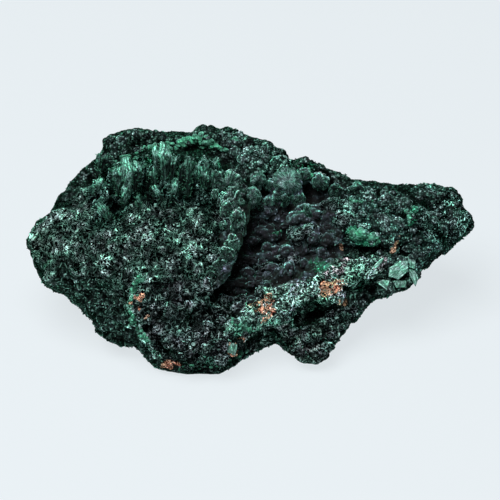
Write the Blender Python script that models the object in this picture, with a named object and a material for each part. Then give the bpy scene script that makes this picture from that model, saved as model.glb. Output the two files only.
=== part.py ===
"""A hand specimen of fibrous malachite: one grown mass, resting on its trimmed underside.

The show face leans back, so the mass is laid out in the face's own frame, in millimetres: "along"
runs from its left tip to its right tip, "up" climbs the face, and "out" stands square out of it.
A polar sheet inside the edge makes the body, with hills and hollows on its front and back. Balls,
blades and lumps are set on that sheet, one remesh grows all of them together, and a flat cut ends
them at the resting plane. The row frame has +Z up and its origin under the middle.
"""

import math
import random

import bmesh
import bpy
import numpy as np
from mathutils import Matrix, Vector, noise

MM = 0.001

# Driving dimensions, in millimetres and degrees.
FACE_LOOKS_UP = 38.0  # how far above level the show face points
REST_HEIGHT = 21.0  # the face frame's origin above the resting plane
SETBACK = -2.4  # the face frame's origin in Y
RIM_OUT = -1.5  # where front and back meet, level with the heart
RIM_SLOPE = -0.21  # how the rim leans back as it climbs
PLATEAU = 7.5  # the least thickness in front of the rim
BACK_DEPTH = 17.0  # the least thickness behind it
CLIFF_WIDTH = 2.2  # how far a cliff takes to fall
FUSE_SIZE = 0.75  # voxel that grows the pieces together
GRAIN_HEIGHT = 0.35  # the overall roughness
GRAIN_SIZE = 3.0
MOST_TRIANGLES = 10300
FRONT_CARE = 0.02  # how much rather the back loses triangles
SEED = 11

HEART = (-6.0, 0.0)
# The edge of the mass, square to the face: (along, up), anticlockwise from the left tip.
EDGE = [
    (-56.2, 1.5), (-54.5, -1.8), (-52.5, -7.0), (-50.5, -9.8), (-46.5, -11.0), (-42.5, -14.5), (-40.0, -16.5),
    (-38.5, -20.0), (-36.5, -22.0), (-32.5, -24.0), (-28.5, -24.2), (-26.5, -26.0), (-24.5, -28.5),
    (-22.5, -29.8), (-16.5, -30.8), (-10.5, -31.0), (-6.5, -30.5), (-2.5, -28.0), (1.5, -25.5), (4.0, -23.7),
    (7.5, -23.2), (9.5, -25.7), (13.5, -27.7), (17.5, -28.2), (19.5, -26.7), (21.5, -23.2), (23.5, -20.7),
    (25.5, -18.5), (27.5, -16.5), (30.0, -12.7), (33.5, -12.0), (37.5, -11.2), (39.5, -9.0), (43.5, -5.5),
    (47.5, -1.7), (51.5, 1.5), (55.5, 5.0), (56.0, 7.0), (54.0, 11.0), (52.5, 14.0), (49.5, 16.0),
    (45.5, 16.8), (39.5, 16.5), (33.5, 17.0), (29.5, 17.7), (25.5, 18.2), (21.5, 20.0), (17.5, 22.0),
    (13.5, 23.2), (10.0, 22.3), (7.5, 25.0), (3.5, 27.5), (-0.5, 29.5), (-4.5, 30.2), (-8.5, 31.2),
    (-12.5, 31.2), (-15.5, 29.6), (-20.5, 29.7), (-26.5, 30.7), (-30.5, 30.5), (-34.5, 29.0),
    (-36.5, 26.7), (-38.5, 23.0), (-40.5, 21.7), (-44.5, 17.7), (-48.5, 13.0), (-50.0, 9.0), (-53.5, 7.5),
    (-55.2, 4.5),
]

# The velvet dome ends in two cliffs: one into the hollow on its right, one into the groove above it.
RIGHT_CLIFF = [
    (-14.0, -15.0), (-10.0, -10.5), (-5.5, -7.0), (0.0, -4.5), (6.2, -2.0), (12.5, -1.2), (21.0, -3.4),
]
TOP_CLIFF = [
    (-37.0, 16.0), (-33.0, 20.5), (-28.0, 21.0), (-24.0, 24.5), (-19.0, 23.5), (-13.0, 22.5), (-7.0, 22.0),
]
DOME = (-24.0, 2.5, 36.0, 27.0, 6.0, 13.0)

# Hills and hollows: (along, up, reach along, reach up, turn in degrees, height).
FRONT_RELIEF = {
    "left_tip": (-48.0, 1.0, 9.0, 10.0, 0.0, 3.0),
    "fan_crest": (-22.0, 19.0, 17.0, 7.0, 8.0, 4.0),
    "fan_pocket": (-33.5, 13.0, 2.6, 6.5, 8.0, -4.5),
    "dark_pocket": (-15.0, 17.0, 3.2, 6.5, 12.0, -4.0),
    "back_groove": (-20.0, 26.0, 17.0, 2.6, -4.0, -3.0),
    "top_knoll": (-8.0, 29.0, 9.0, 6.0, -8.0, 3.5),
    "cauliflower": (1.5, 23.0, 9.5, 6.0, -30.0, 6.0),
    "ball_yard": (6.5, 14.0, 8.5, 5.5, 0.0, -3.0),
    "hollow": (5.0, 1.0, 13.0, 11.0, 0.0, -6.5),
    "hollow_foot": (-4.0, -7.5, 8.0, 7.0, 45.0, -4.0),
    "dark_gap": (16.5, 13.0, 6.0, 4.0, 20.0, -3.5),
    "lobe": (-14.0, -20.0, 15.0, 11.0, 0.0, 4.5),
    "flank": (-36.0, -18.0, 10.0, 9.0, -30.0, -3.0),
    "ridge": (14.0, -11.0, 25.0, 6.5, 27.0, 7.0),
    "arm": (37.0, 6.0, 20.0, 9.0, -4.0, 4.5),
    "under_ridge": (14.0, -15.8, 6.5, 3.2, 18.0, -8.0),
    "foot": (15.0, -23.5, 7.0, 5.0, 0.0, 2.0),
    "under_ledge": (29.5, 0.2, 5.0, 2.6, 10.0, -6.0),
    "plate_gap": (30.0, -9.5, 2.6, 3.0, 0.0, -5.0),
    "notch": (4.5, -24.0, 5.0, 4.0, 0.0, -3.0),
}
BACK_RELIEF = {
    "heel": (-12.0, -8.0, 34.0, 18.0, 0.0, 8.0),
    "shoulder": (18.0, 6.0, 20.0, 14.0, -10.0, 3.0),
    "saddle": (6.0, 14.0, 9.0, 12.0, 0.0, -4.0),
    "thin_tip": (-48.0, 2.0, 12.0, 12.0, 0.0, -7.0),
    "thin_arm": (48.0, 7.0, 16.0, 12.0, 0.0, -6.0),
}
FOOT_SETBACK = (15.0, -27.0, 9.0, 8.0, 0.0, -3.2)

# Balls that can be told apart: (along, up, radius along, radius up).
VELVET_BALLS = [
    (1.8, 17.2, 2.1, 2.1), (5.0, 16.0, 1.7, 1.7), (0.6, 12.7, 2.2, 2.6), (9.4, 17.0, 3.7, 3.5),
    (8.3, 12.9, 2.8, 2.3), (12.0, 12.6, 2.0, 1.9), (17.3, 17.2, 2.4, 2.4), (4.2, 11.7, 1.8, 1.6),
    (13.6, 18.6, 2.2, 2.1), (8.0, 21.3, 2.6, 2.2),
]
HOLLOW_BALLS = [
    (14.5, 4.6, 4.6, 3.4), (13.2, 9.0, 3.5, 2.1), (10.7, -0.7, 3.8, 2.5), (5.0, 4.6, 2.6, 2.2),
    (0.0, 3.0, 2.2, 2.3), (-2.6, -2.8, 2.4, 2.2), (3.0, -2.6, 2.7, 2.4), (9.0, -6.0, 3.2, 2.4),
    (-6.0, -8.6, 2.4, 2.2), (-0.6, -8.0, 2.6, 2.3), (5.4, 9.0, 2.7, 1.8), (20.3, 8.6, 2.6, 2.2),
    (3.8, -8.6, 2.4, 2.0), (21.0, 2.6, 2.5, 2.0),
]
CREST_BALLS = [
    (-34.3, 26.4, 3.0, 2.6), (-29.7, 28.0, 2.8, 2.5), (-25.0, 28.0, 2.9, 2.6), (-20.2, 27.4, 2.4, 2.0),
    (-15.8, 27.2, 2.1, 2.0), (-11.2, 28.6, 3.4, 2.9), (-5.4, 28.4, 3.6, 2.6), (-0.6, 27.2, 2.6, 2.1),
    (3.4, 25.4, 2.8, 2.2), (7.0, 23.0, 2.7, 2.3), (13.7, 21.7, 2.3, 1.9), (17.2, 20.2, 2.1, 1.8),
    (20.6, 18.6, 1.9, 1.7), (-36.4, 22.8, 2.0, 2.4), (49.5, 12.4, 4.0, 3.5), (52.5, 6.6, 3.6, 3.6),
]
TIP_BALLS = [(-51.5, 2.0, 4.2, 5.2), (-47.5, -5.5, 4.0, 4.0), (15.4, -24.9, 4.8, 3.5), (45.0, 4.5, 4.4, 4.0)]

# Sprays of blades: (root along, root up, length, first angle, last angle, blades).
SPRAYS = [
    (-28.7, 10.0, 12.5, 72.0, 122.0, 5), (-21.0, 12.8, 12.5, 72.0, 112.0, 4), (-20.0, 9.0, 8.0, 58.0, 132.0, 3),
    (-12.5, 11.5, 11.0, 52.0, 98.0, 4), (-35.0, 9.8, 8.5, 92.0, 142.0, 3), (-35.6, 17.4, 6.4, 60.0, 106.0, 3),
    (-10.5, 9.5, 9.5, -8.0, 40.0, 4),
]
# Plates broken across their fibres, low on the right: (along, up, radius along, radius up, turn in degrees).
PLATES = [
    (35.6, -3.6, 3.4, 2.7, 20.0), (40.6, -5.4, 2.2, 3.4, -10.0), (33.6, -9.6, 2.5, 2.3, 0.0),
    (38.0, -8.6, 2.8, 1.9, 10.0), (26.4, 4.6, 3.4, 1.4, -8.0), (27.8, 1.9, 2.6, 1.6, 10.0),
]

# Loose fields of lumps:
# (along, up, reach along, reach up, turn in degrees, lumps, least radius, most radius).
FRONT_FIELDS = {
    "hollow": (5.0, -1.0, 15.0, 13.0, 0.0, 26, 1.6, 2.4),
    "arm": (38.0, 6.0, 17.0, 8.5, -4.0, 34, 1.7, 2.9),
    "ridge": (14.0, -11.0, 23.0, 4.5, 27.0, 30, 1.5, 2.4),
    "lobe": (-14.0, -20.0, 14.0, 10.0, 0.0, 30, 1.7, 2.8),
    "dome": (-30.0, -1.0, 22.0, 16.0, 8.0, 26, 2.8, 5.0),
    "cauliflower": (1.0, 23.0, 8.0, 5.5, -30.0, 14, 1.8, 2.8),
    "flank": (-35.0, -17.0, 11.0, 7.0, -30.0, 14, 1.8, 2.8),
}
BACK_FIELD = (-2.0, 2.0, 46.0, 26.0, 0.0, 90, 2.6, 5.4)

RINGS_FRONT, RINGS_BACK, SPOKES = 30, 16, 160
LIP_STEP, LIP_SIZE = 2.9, (1.7, 2.3)


def hill(along, up, relief):
    """Height at a place of one hill: a rounded dome over a turned ellipse, and nothing outside it."""
    at_along, at_up, reach_along, reach_up, turn, height = relief
    cos, sin = math.cos(math.radians(turn)), math.sin(math.radians(turn))
    across, over = along - at_along, up - at_up
    far = ((across * cos + over * sin) / reach_along) ** 2 + ((over * cos - across * sin) / reach_up) ** 2
    return height * np.clip(1 - far, 0, None) ** 1.3


def smooth_step(x):
    x = np.clip(x, 0, 1)
    return x * x * (3 - 2 * x)


def edge_distance(angle):
    """How far the edge lies from the heart at an angle, in radians."""
    points = np.array(EDGE) - HEART
    angles = np.unwrap(np.arctan2(points[:, 1], points[:, 0]))
    return np.interp(
        np.mod(angle - angles[0], 2 * math.pi) + angles[0],
        np.append(angles, angles[0] + 2 * math.pi),
        np.append(np.hypot(*points.T), np.hypot(*points[0])),
    )


def share_to_edge(along, up):
    """0 at the heart and 1 at the edge."""
    across, over = along - HEART[0], up - HEART[1]
    return np.hypot(across, over) / edge_distance(np.arctan2(over, across))


def room_inside(along, up):
    """Distance from a place to the nearest part of the edge."""
    starts = np.array(EDGE)
    spans = np.roll(starts, -1, axis=0) - starts
    to_place = np.array((along, up)) - starts
    shares = np.clip((to_place * spans).sum(axis=1) / (spans**2).sum(axis=1), 0, 1)
    return np.hypot(*(to_place - spans * shares[:, None]).T).min()


def rim_out(along, up):
    return RIM_OUT + RIM_SLOPE * up + hill(along, up, FOOT_SETBACK)


def dome_out(along, up):
    """The velvet dome, cut off at its two cliffs."""
    right = np.interp(up, *zip(*RIGHT_CLIFF))
    top = np.interp(along, *zip(*TOP_CLIFF))
    kept = smooth_step((right - along) / CLIFF_WIDTH + 0.5) * smooth_step((top - up) / CLIFF_WIDTH + 0.5)
    return hill(along, up, DOME) * kept


def front_out(along, up):
    """How far out the front sheet stands at a place."""
    rounding = np.sqrt(np.clip(1 - share_to_edge(along, up) ** 5, 0, 1))
    height = PLATEAU + dome_out(along, up) + sum(hill(along, up, h) for h in FRONT_RELIEF.values())
    return rim_out(along, up) + rounding * height


def back_out(along, up):
    rounding = np.sqrt(np.clip(1 - share_to_edge(along, up) ** 3, 0, 1))
    depth = BACK_DEPTH + sum(hill(along, up, h) for h in BACK_RELIEF.values())
    return rim_out(along, up) - rounding * depth


def body():
    """The polar sheet: rings from the heart out to the edge on the front, and back to the heart behind."""
    angles = np.linspace(0, 2 * math.pi, SPOKES, endpoint=False)
    reach = edge_distance(angles)

    def ring(share, out):
        along = HEART[0] + share * reach * np.cos(angles)
        up = HEART[1] + share * reach * np.sin(angles)
        return np.stack([along, up, out(along, up)], axis=1)

    def shares(rings):
        return np.sin(np.arange(1, rings) / rings * math.pi / 2)

    rings = [ring(share, front_out) for share in shares(RINGS_FRONT)]
    rings.append(ring(1.0, rim_out))
    rings += [ring(share, back_out) for share in shares(RINGS_BACK)[::-1]]
    poles = [(*HEART, float(front_out(*HEART))), (*HEART, float(back_out(*HEART)))]
    numbers = np.arange(len(rings) * SPOKES).reshape(len(rings), SPOKES)
    before = np.roll(numbers, 1, axis=1)
    sides = np.stack([before[:-1], before[1:], numbers[1:], numbers[:-1]], axis=-1).reshape(-1, 4)
    front_cap = [(a, b, numbers.size) for a, b in zip(before[0], numbers[0])]
    back_cap = [(b, a, numbers.size + 1) for a, b in zip(before[-1], numbers[-1])]
    return np.concatenate([*rings, poles]), [*sides.tolist(), *front_cap, *back_cap]


def unit_ball(subdivisions):
    bm = bmesh.new()
    bmesh.ops.create_icosphere(bm, subdivisions=subdivisions, radius=1.0)
    points = np.array([vertex.co for vertex in bm.verts])
    faces = np.array([[vertex.index for vertex in face.verts] for face in bm.faces])
    bm.free()
    return points, faces


def lump(place, radii, turn=0.0, lean=0.0):
    """An ellipsoid at a place in the face frame, turned in the face's plane after it leans out of it."""
    turned = Matrix.Rotation(math.radians(turn), 3, "Z") @ Matrix.Rotation(math.radians(lean), 3, "Y")
    points, faces = BALLS[max(radii) > 2.5]
    return points * radii @ np.array(turned).T + np.array(place), faces.tolist()


def on_front(along, up, lift=0.0):
    return Vector((along, up, float(front_out(along, up)) + lift))


def balls_on_front(balls, showing):
    """Balls that stand out of the front by a share of their size."""
    for along, up, radius_along, radius_up in balls:
        radius = (radius_along + radius_up) / 2
        yield lump(on_front(along, up, radius * showing), (radius_along, radius_up, radius))


def sprays():
    """Blades that fan out from a root, rising from the dome to its crest."""
    for root_along, root_up, length, first, last, blades in SPRAYS:
        for i in range(blades):
            angle = first + (last - first) * i / (blades - 1)
            reach = length * (0.62 + 0.08 * (i % 3))
            along = root_along + reach * math.cos(math.radians(angle))
            up = root_up + reach * math.sin(math.radians(angle))
            radii = (length * 0.38, 1.15 + 0.2 * (i % 2), 2.8)
            yield lump(on_front(along, up, -0.3), radii, turn=angle, lean=-7.0)


def plates():
    for along, up, radius_along, radius_up, turn in PLATES:
        yield lump(on_front(along, up, 0.7), (radius_along, radius_up, 1.9), turn=turn)


def overhanging_lip(rng):
    """Lumps that overhang the hollow along the dome's right cliff."""
    ups = np.arange(RIGHT_CLIFF[1][0], RIGHT_CLIFF[-1][0], LIP_STEP)
    for up, along in zip(ups, np.interp(ups, *zip(*RIGHT_CLIFF))):
        radius = rng.uniform(*LIP_SIZE)
        place = on_front(along - CLIFF_WIDTH, up) + Vector((CLIFF_WIDTH, 0.0, -radius))
        yield lump(place, (radius, radius * 1.1, radius * 1.5))


def places_in(field, rng):
    """Seeded places inside a turned ellipse, each with a radius."""
    at_along, at_up, reach_along, reach_up, turn, lumps, least, most = field
    cos, sin = math.cos(math.radians(turn)), math.sin(math.radians(turn))
    for _ in range(lumps):
        far, angle = math.sqrt(rng.random()), rng.uniform(0, 2 * math.pi)
        across, over = far * reach_along * math.cos(angle), far * reach_up * math.sin(angle)
        radius = rng.uniform(least, most)
        yield at_along + across * cos - over * sin, at_up + across * sin + over * cos, radius


def loose_lumps(rng):
    """Loose lumps over the front, which keep inside the edge, and larger ones over the back."""
    for name, field in FRONT_FIELDS.items():
        sunk = 0.72 if name == "dome" else 0.35
        for along, up, radius in places_in(field, rng):
            if room_inside(along, up) > radius:
                radii = (radius, radius * rng.uniform(0.8, 1.1), radius)
                yield lump(on_front(along, up, -radius * sunk), radii)
    for along, up, radius in places_in(BACK_FIELD, rng):
        if room_inside(along, up) > radius * 1.2:
            out = float(back_out(along, up)) + radius * 0.55
            yield lump((along, up, out), (radius * 1.2, radius, radius), turn=rng.uniform(0, 180))


def grow_together(pieces):
    """One closed skin over all the pieces, with its roughness, pared down to its triangles."""
    points, faces = [], []
    for piece_points, piece_faces in pieces:
        offset = sum(map(len, points))
        faces += [[offset + corner for corner in face] for face in piece_faces]
        points.append(piece_points)
    mesh = bpy.data.meshes.new("pieces")
    mesh.from_pydata(np.concatenate(points).tolist(), [], faces)
    grown = bpy.data.objects.new("grown", mesh)
    bpy.context.scene.collection.objects.link(grown)
    fuse = grown.modifiers.new("fuse", "REMESH")
    fuse.mode = "VOXEL"
    fuse.voxel_size = FUSE_SIZE
    skin = evaluated_copy(grown)
    places = [vertex.co.copy() for vertex in skin.vertices]
    normals = [vertex.normal.copy() for vertex in skin.vertices]
    rough = [place + normal * grain(place) for place, normal in zip(places, normals)]
    skin.vertices.foreach_set("co", np.array(rough).ravel())
    grown.data = skin
    grown.modifiers.clear()

    back = grown.vertex_groups.new(name="back")
    behind = [i for i, place in enumerate(places) if place.z < rim_out(place.x, place.y) - 2.0]
    back.add(range(len(places)), 0.5, "REPLACE")
    back.add(behind, 1.0, "REPLACE")
    pare = grown.modifiers.new("pare", "DECIMATE")
    pare.use_collapse_triangulate = True
    pare.vertex_group = back.name
    pare.vertex_group_factor = FRONT_CARE
    pare.ratio = MOST_TRIANGLES / (2 * len(skin.polygons))
    pared = evaluated_copy(grown)
    bpy.data.objects.remove(grown)
    return pared


def grain(place):
    """The overall roughness at a place, in two octaves."""
    return GRAIN_HEIGHT * (noise.noise(place / GRAIN_SIZE) + 0.6 * noise.noise(place / GRAIN_SIZE * 2.1))


def evaluated_copy(obj):
    graph = bpy.context.evaluated_depsgraph_get()
    return bpy.data.meshes.new_from_object(obj.evaluated_get(graph))


def face_to_row():
    """The face frame's place in the row frame, in metres."""
    tilt = Matrix.Rotation(math.radians(90.0 - FACE_LOOKS_UP), 4, "X")
    return Matrix.Translation((0.0, SETBACK * MM, REST_HEIGHT * MM)) @ tilt @ Matrix.Scale(MM, 4)


def cut_underside(mesh):
    """Trims the mass flat at the resting plane."""
    bm = bmesh.new()
    bm.from_mesh(mesh)
    everything = bm.verts[:] + bm.edges[:] + bm.faces[:]
    bmesh.ops.bisect_plane(bm, geom=everything, plane_co=(0, 0, 0), plane_no=(0, 0, -1), clear_outer=True)
    rim = [edge for edge in bm.edges if edge.is_boundary]
    bmesh.ops.holes_fill(bm, edges=rim)
    bmesh.ops.recalc_face_normals(bm, faces=bm.faces)
    bm.to_mesh(mesh)
    bm.free()


def malachite_finish():
    material = bpy.data.materials.new("malachite")
    material.use_nodes = True
    shader = material.node_tree.nodes["Principled BSDF"]
    shader.inputs["Base Color"].default_value = (0.026, 0.080, 0.056, 1.0)
    shader.inputs["Roughness"].default_value = 0.6
    shader.inputs["Metallic"].default_value = 0.0
    return material


def build():
    for obj in list(bpy.data.objects):
        bpy.data.objects.remove(obj)
    rng = random.Random(SEED)
    pieces = [
        body(),
        *balls_on_front(VELVET_BALLS, 0.9),
        *balls_on_front(HOLLOW_BALLS, 0.35),
        *balls_on_front(CREST_BALLS, -0.2),
        *balls_on_front(TIP_BALLS, -0.5),
        *sprays(),
        *plates(),
        *overhanging_lip(rng),
        *loose_lumps(rng),
    ]
    mesh = grow_together(pieces)
    mesh.transform(face_to_row())
    cut_underside(mesh)
    mesh.name = "malachite"
    mesh.materials.clear()
    mesh.materials.append(malachite_finish())
    mesh.shade_smooth()
    specimen = bpy.data.objects.new("malachite", mesh)
    bpy.context.scene.collection.objects.link(specimen)


BALLS = {False: unit_ball(2), True: unit_ball(3)}
build()
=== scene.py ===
"""The looks of a hand specimen of fibrous malachite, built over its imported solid.

The solid carries the mass, its hills, its hollow and its balls. This script grows the fine crust on
it: the rough ground, silky fans, pale plates, velvet balls, dark grapes and other lumps, a torn lip,
fibres on these, and then needles, grains and crumbs. All sizes are in millimetres in the show face's own
frame, where "along" runs from the domed end to the tapering tip, "up" climbs the face and "out"
stands square out of it. A mesh goes to metres in the row frame only when it is made.
"""

import copy
import logging
import math
from dataclasses import dataclass
from enum import Enum
from typing import Callable, ClassVar, Optional, Sequence

import bmesh
import bpy
import numpy as np
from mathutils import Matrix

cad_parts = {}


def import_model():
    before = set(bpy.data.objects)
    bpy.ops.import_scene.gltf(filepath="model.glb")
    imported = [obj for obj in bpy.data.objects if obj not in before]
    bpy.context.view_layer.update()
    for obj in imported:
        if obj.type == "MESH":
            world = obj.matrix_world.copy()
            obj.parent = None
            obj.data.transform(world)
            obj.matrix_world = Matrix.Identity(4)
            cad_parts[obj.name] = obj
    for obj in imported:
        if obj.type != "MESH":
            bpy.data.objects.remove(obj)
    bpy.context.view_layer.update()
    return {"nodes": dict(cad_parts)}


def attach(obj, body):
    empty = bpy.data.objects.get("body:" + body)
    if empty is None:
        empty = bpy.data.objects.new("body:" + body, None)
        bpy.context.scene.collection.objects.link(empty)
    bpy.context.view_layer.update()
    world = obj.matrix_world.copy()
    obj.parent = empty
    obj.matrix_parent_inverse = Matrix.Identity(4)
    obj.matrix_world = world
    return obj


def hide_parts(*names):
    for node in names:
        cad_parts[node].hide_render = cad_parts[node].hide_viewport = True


logging.basicConfig(level=logging.INFO, format="%(message)s")
log = logging.getLogger("malachite")

MM = 0.001
SEED = 20
BAKE_MAP = "OFBake"
TINT = "tint"
GRAIN = "grain"
NODE = "malachite"


# Places -----------------------------------------------------------------------------------------


@dataclass(frozen=True)
class FaceFrame:
    """The show face's own frame, as the solid was laid out in it.

    Attributes:
        looks_up: how far above level the face points, in degrees.
        rest_height: its origin above the resting plane.
        setback: its origin's Y in the row frame.
        rim_out: where front and back meet at the origin, in "out".
        rim_slope: how much further back they meet for each millimetre up.
        crown: the height above the resting plane over which forms lean back.
        leaning: the share of their height over the crown that they lose by it.
    """

    looks_up: float = 38.0
    rest_height: float = 21.0
    setback: float = -2.4
    rim_out: float = -1.5
    rim_slope: float = -0.21
    crown: float = 46.6
    leaning: float = 0.68

    def axes(self) -> np.ndarray:
        """Along, up and out, as rows, in the row frame."""
        tilt = math.radians(self.looks_up)
        return np.array(
            [
                (1.0, 0.0, 0.0),
                (0.0, math.sin(tilt), math.cos(tilt)),
                (0.0, -math.cos(tilt), math.sin(tilt)),
            ]
        )

    def above(self, places: np.ndarray) -> np.ndarray:
        """How far each place is above the resting plane."""
        return places @ self.axes()[:, 2] + self.rest_height

    def rim(self, up: np.ndarray) -> np.ndarray:
        """How far out front and back meet, at each height on the face."""
        return self.rim_out + self.rim_slope * up

    def leant_back(self, places: np.ndarray) -> np.ndarray:
        """The places, moved back wherever they are higher than the crown."""
        over = self.above(places) - self.crown
        places = places.copy()
        places[..., 2] -= self.leaning * np.maximum(over, 0.0) / self.axes()[2, 2]
        return places

    def from_row(self, metres: np.ndarray) -> np.ndarray:
        """Places in this frame, in millimetres, of points in the row frame, in metres."""
        return (metres / MM - (0.0, self.setback, self.rest_height)) @ self.axes().T

    def to_row(self, places: np.ndarray) -> np.ndarray:
        """The reverse of from_row. Nothing goes below the resting plane."""
        metres = (places @ self.axes() + (0.0, self.setback, self.rest_height)) * MM
        metres[..., 2] = np.maximum(metres[..., 2], 0.0)
        return metres

    def is_front(self, places: np.ndarray) -> np.ndarray:
        """True for the places in front of the rim."""
        return places[:, 2] > self.rim(places[:, 1])


FACE = FaceFrame()


class Side(Enum):
    """A side of the rim."""

    FRONT = "front"
    BACK = "back"


@dataclass(frozen=True)
class Patch:
    """A turned ellipse on the face.

    Attributes:
        along, up: its centre.
        reach_along, reach_up: its half lengths.
        turn: in degrees.
        softness: how wide its border is, as a share of its size.
    """

    along: float
    up: float
    reach_along: float
    reach_up: float
    turn: float = 0.0
    softness: float = 0.3

    def cover(self, places: np.ndarray) -> np.ndarray:
        """1 well inside the ellipse and 0 well outside it, for each place."""
        cos, sin = math.cos(math.radians(self.turn)), math.sin(math.radians(self.turn))
        across, over = places[:, 0] - self.along, places[:, 1] - self.up
        far = np.hypot(
            (across * cos + over * sin) / self.reach_along,
            (over * cos - across * sin) / self.reach_up,
        )
        return np.clip((1.0 - far) / self.softness + 0.5, 0.0, 1.0)


def covered(patches: Sequence[Patch], places: np.ndarray) -> np.ndarray:
    """The strongest cover that any of the patches gives each place, with ragged borders."""
    torn, torn_size = 1.6, 3.5
    ragged = places + torn * np.stack([noise(places, torn_size, 2, channel) for channel in (5, 6, 7)], axis=1)
    result = np.zeros(len(places))
    for patch in patches:
        result = np.maximum(result, patch.cover(ragged))
    return result


# Repeatable noise -------------------------------------------------------------------------------


def hashed(cells: np.ndarray, channel: int) -> np.ndarray:
    """A repeatable random number from 0 to 1 for each whole-number cell (..., 3)."""
    mixed = (cells.astype(np.int64) * (73856093, 19349663, 83492791)).sum(axis=-1) + channel * 9176263
    for shift, factor in ((15, 0x2C1B3C6D), (12, 0x297A2D39), (15, 1)):
        mixed = ((mixed ^ (mixed >> shift)) * factor) & 0x7FFFFFFF
    return (mixed & 0xFFFFF) / float(0x100000)


def lattice_noise(places: np.ndarray, size: float, channel: int) -> np.ndarray:
    """Smoothly blended random values on a cubic lattice, from -1 to 1."""
    scaled = places / size
    corner = np.floor(scaled)
    share = scaled - corner
    share = share * share * (3.0 - 2.0 * share)
    total = np.zeros(len(places))
    for step in np.ndindex(2, 2, 2):
        weight = np.prod(np.where(np.array(step), share, 1.0 - share), axis=1)
        total += weight * hashed(corner + step, channel)
    return 2.0 * total - 1.0


def noise(places: np.ndarray, size: float, octaves: int = 3, channel: int = 0) -> np.ndarray:
    """Lattice noise summed over octaves of half the size and half the height, about -1 to 1."""
    total = np.zeros(len(places))
    for octave in range(octaves):
        total += lattice_noise(places, size / 2**octave, channel + 31 * octave) / 2**octave
    return total


def nearest_seed(places: np.ndarray, size: float, channel: int) -> tuple[np.ndarray, np.ndarray]:
    """The nearest of the seeds scattered one to each cubic cell.

    Args:
        places: points (n, 3).
        size: the cell's side.
        channel: picks one scatter of seeds.

    Returns:
        From the seed to each place (n, 3), and a random number from 0 to 1 for that seed.
    """
    scaled = places / size
    corner = np.floor(scaled)
    nearest = np.full(len(places), np.inf)
    offset = np.zeros_like(places)
    number = np.zeros(len(places))
    for step in np.ndindex(3, 3, 3):
        cell = corner + step - 1.0
        seed = cell + np.stack([hashed(cell, channel + axis) for axis in range(3)], axis=1)
        apart = scaled - seed
        far = (apart**2).sum(axis=1)
        closer = far < nearest
        nearest[closer] = far[closer]
        offset[closer] = apart[closer]
        number[closer] = hashed(cell[closer], channel + 9)
    return offset * size, number


def lumps(places: np.ndarray, size: float, channel: int) -> np.ndarray:
    """Round-topped lumps that meet in creases: 1 at a lump's top, falling to 0."""
    offset, _ = nearest_seed(places, size, channel)
    return np.sqrt(np.clip(1.0 - (offset**2).sum(axis=1) / (0.85 * size) ** 2, 0.0, 1.0))


# Meshes -----------------------------------------------------------------------------------------


def unit(vectors: np.ndarray) -> np.ndarray:
    """The vectors at length one."""
    return vectors / np.maximum(np.linalg.norm(vectors, axis=-1, keepdims=True), 1e-9)


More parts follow.
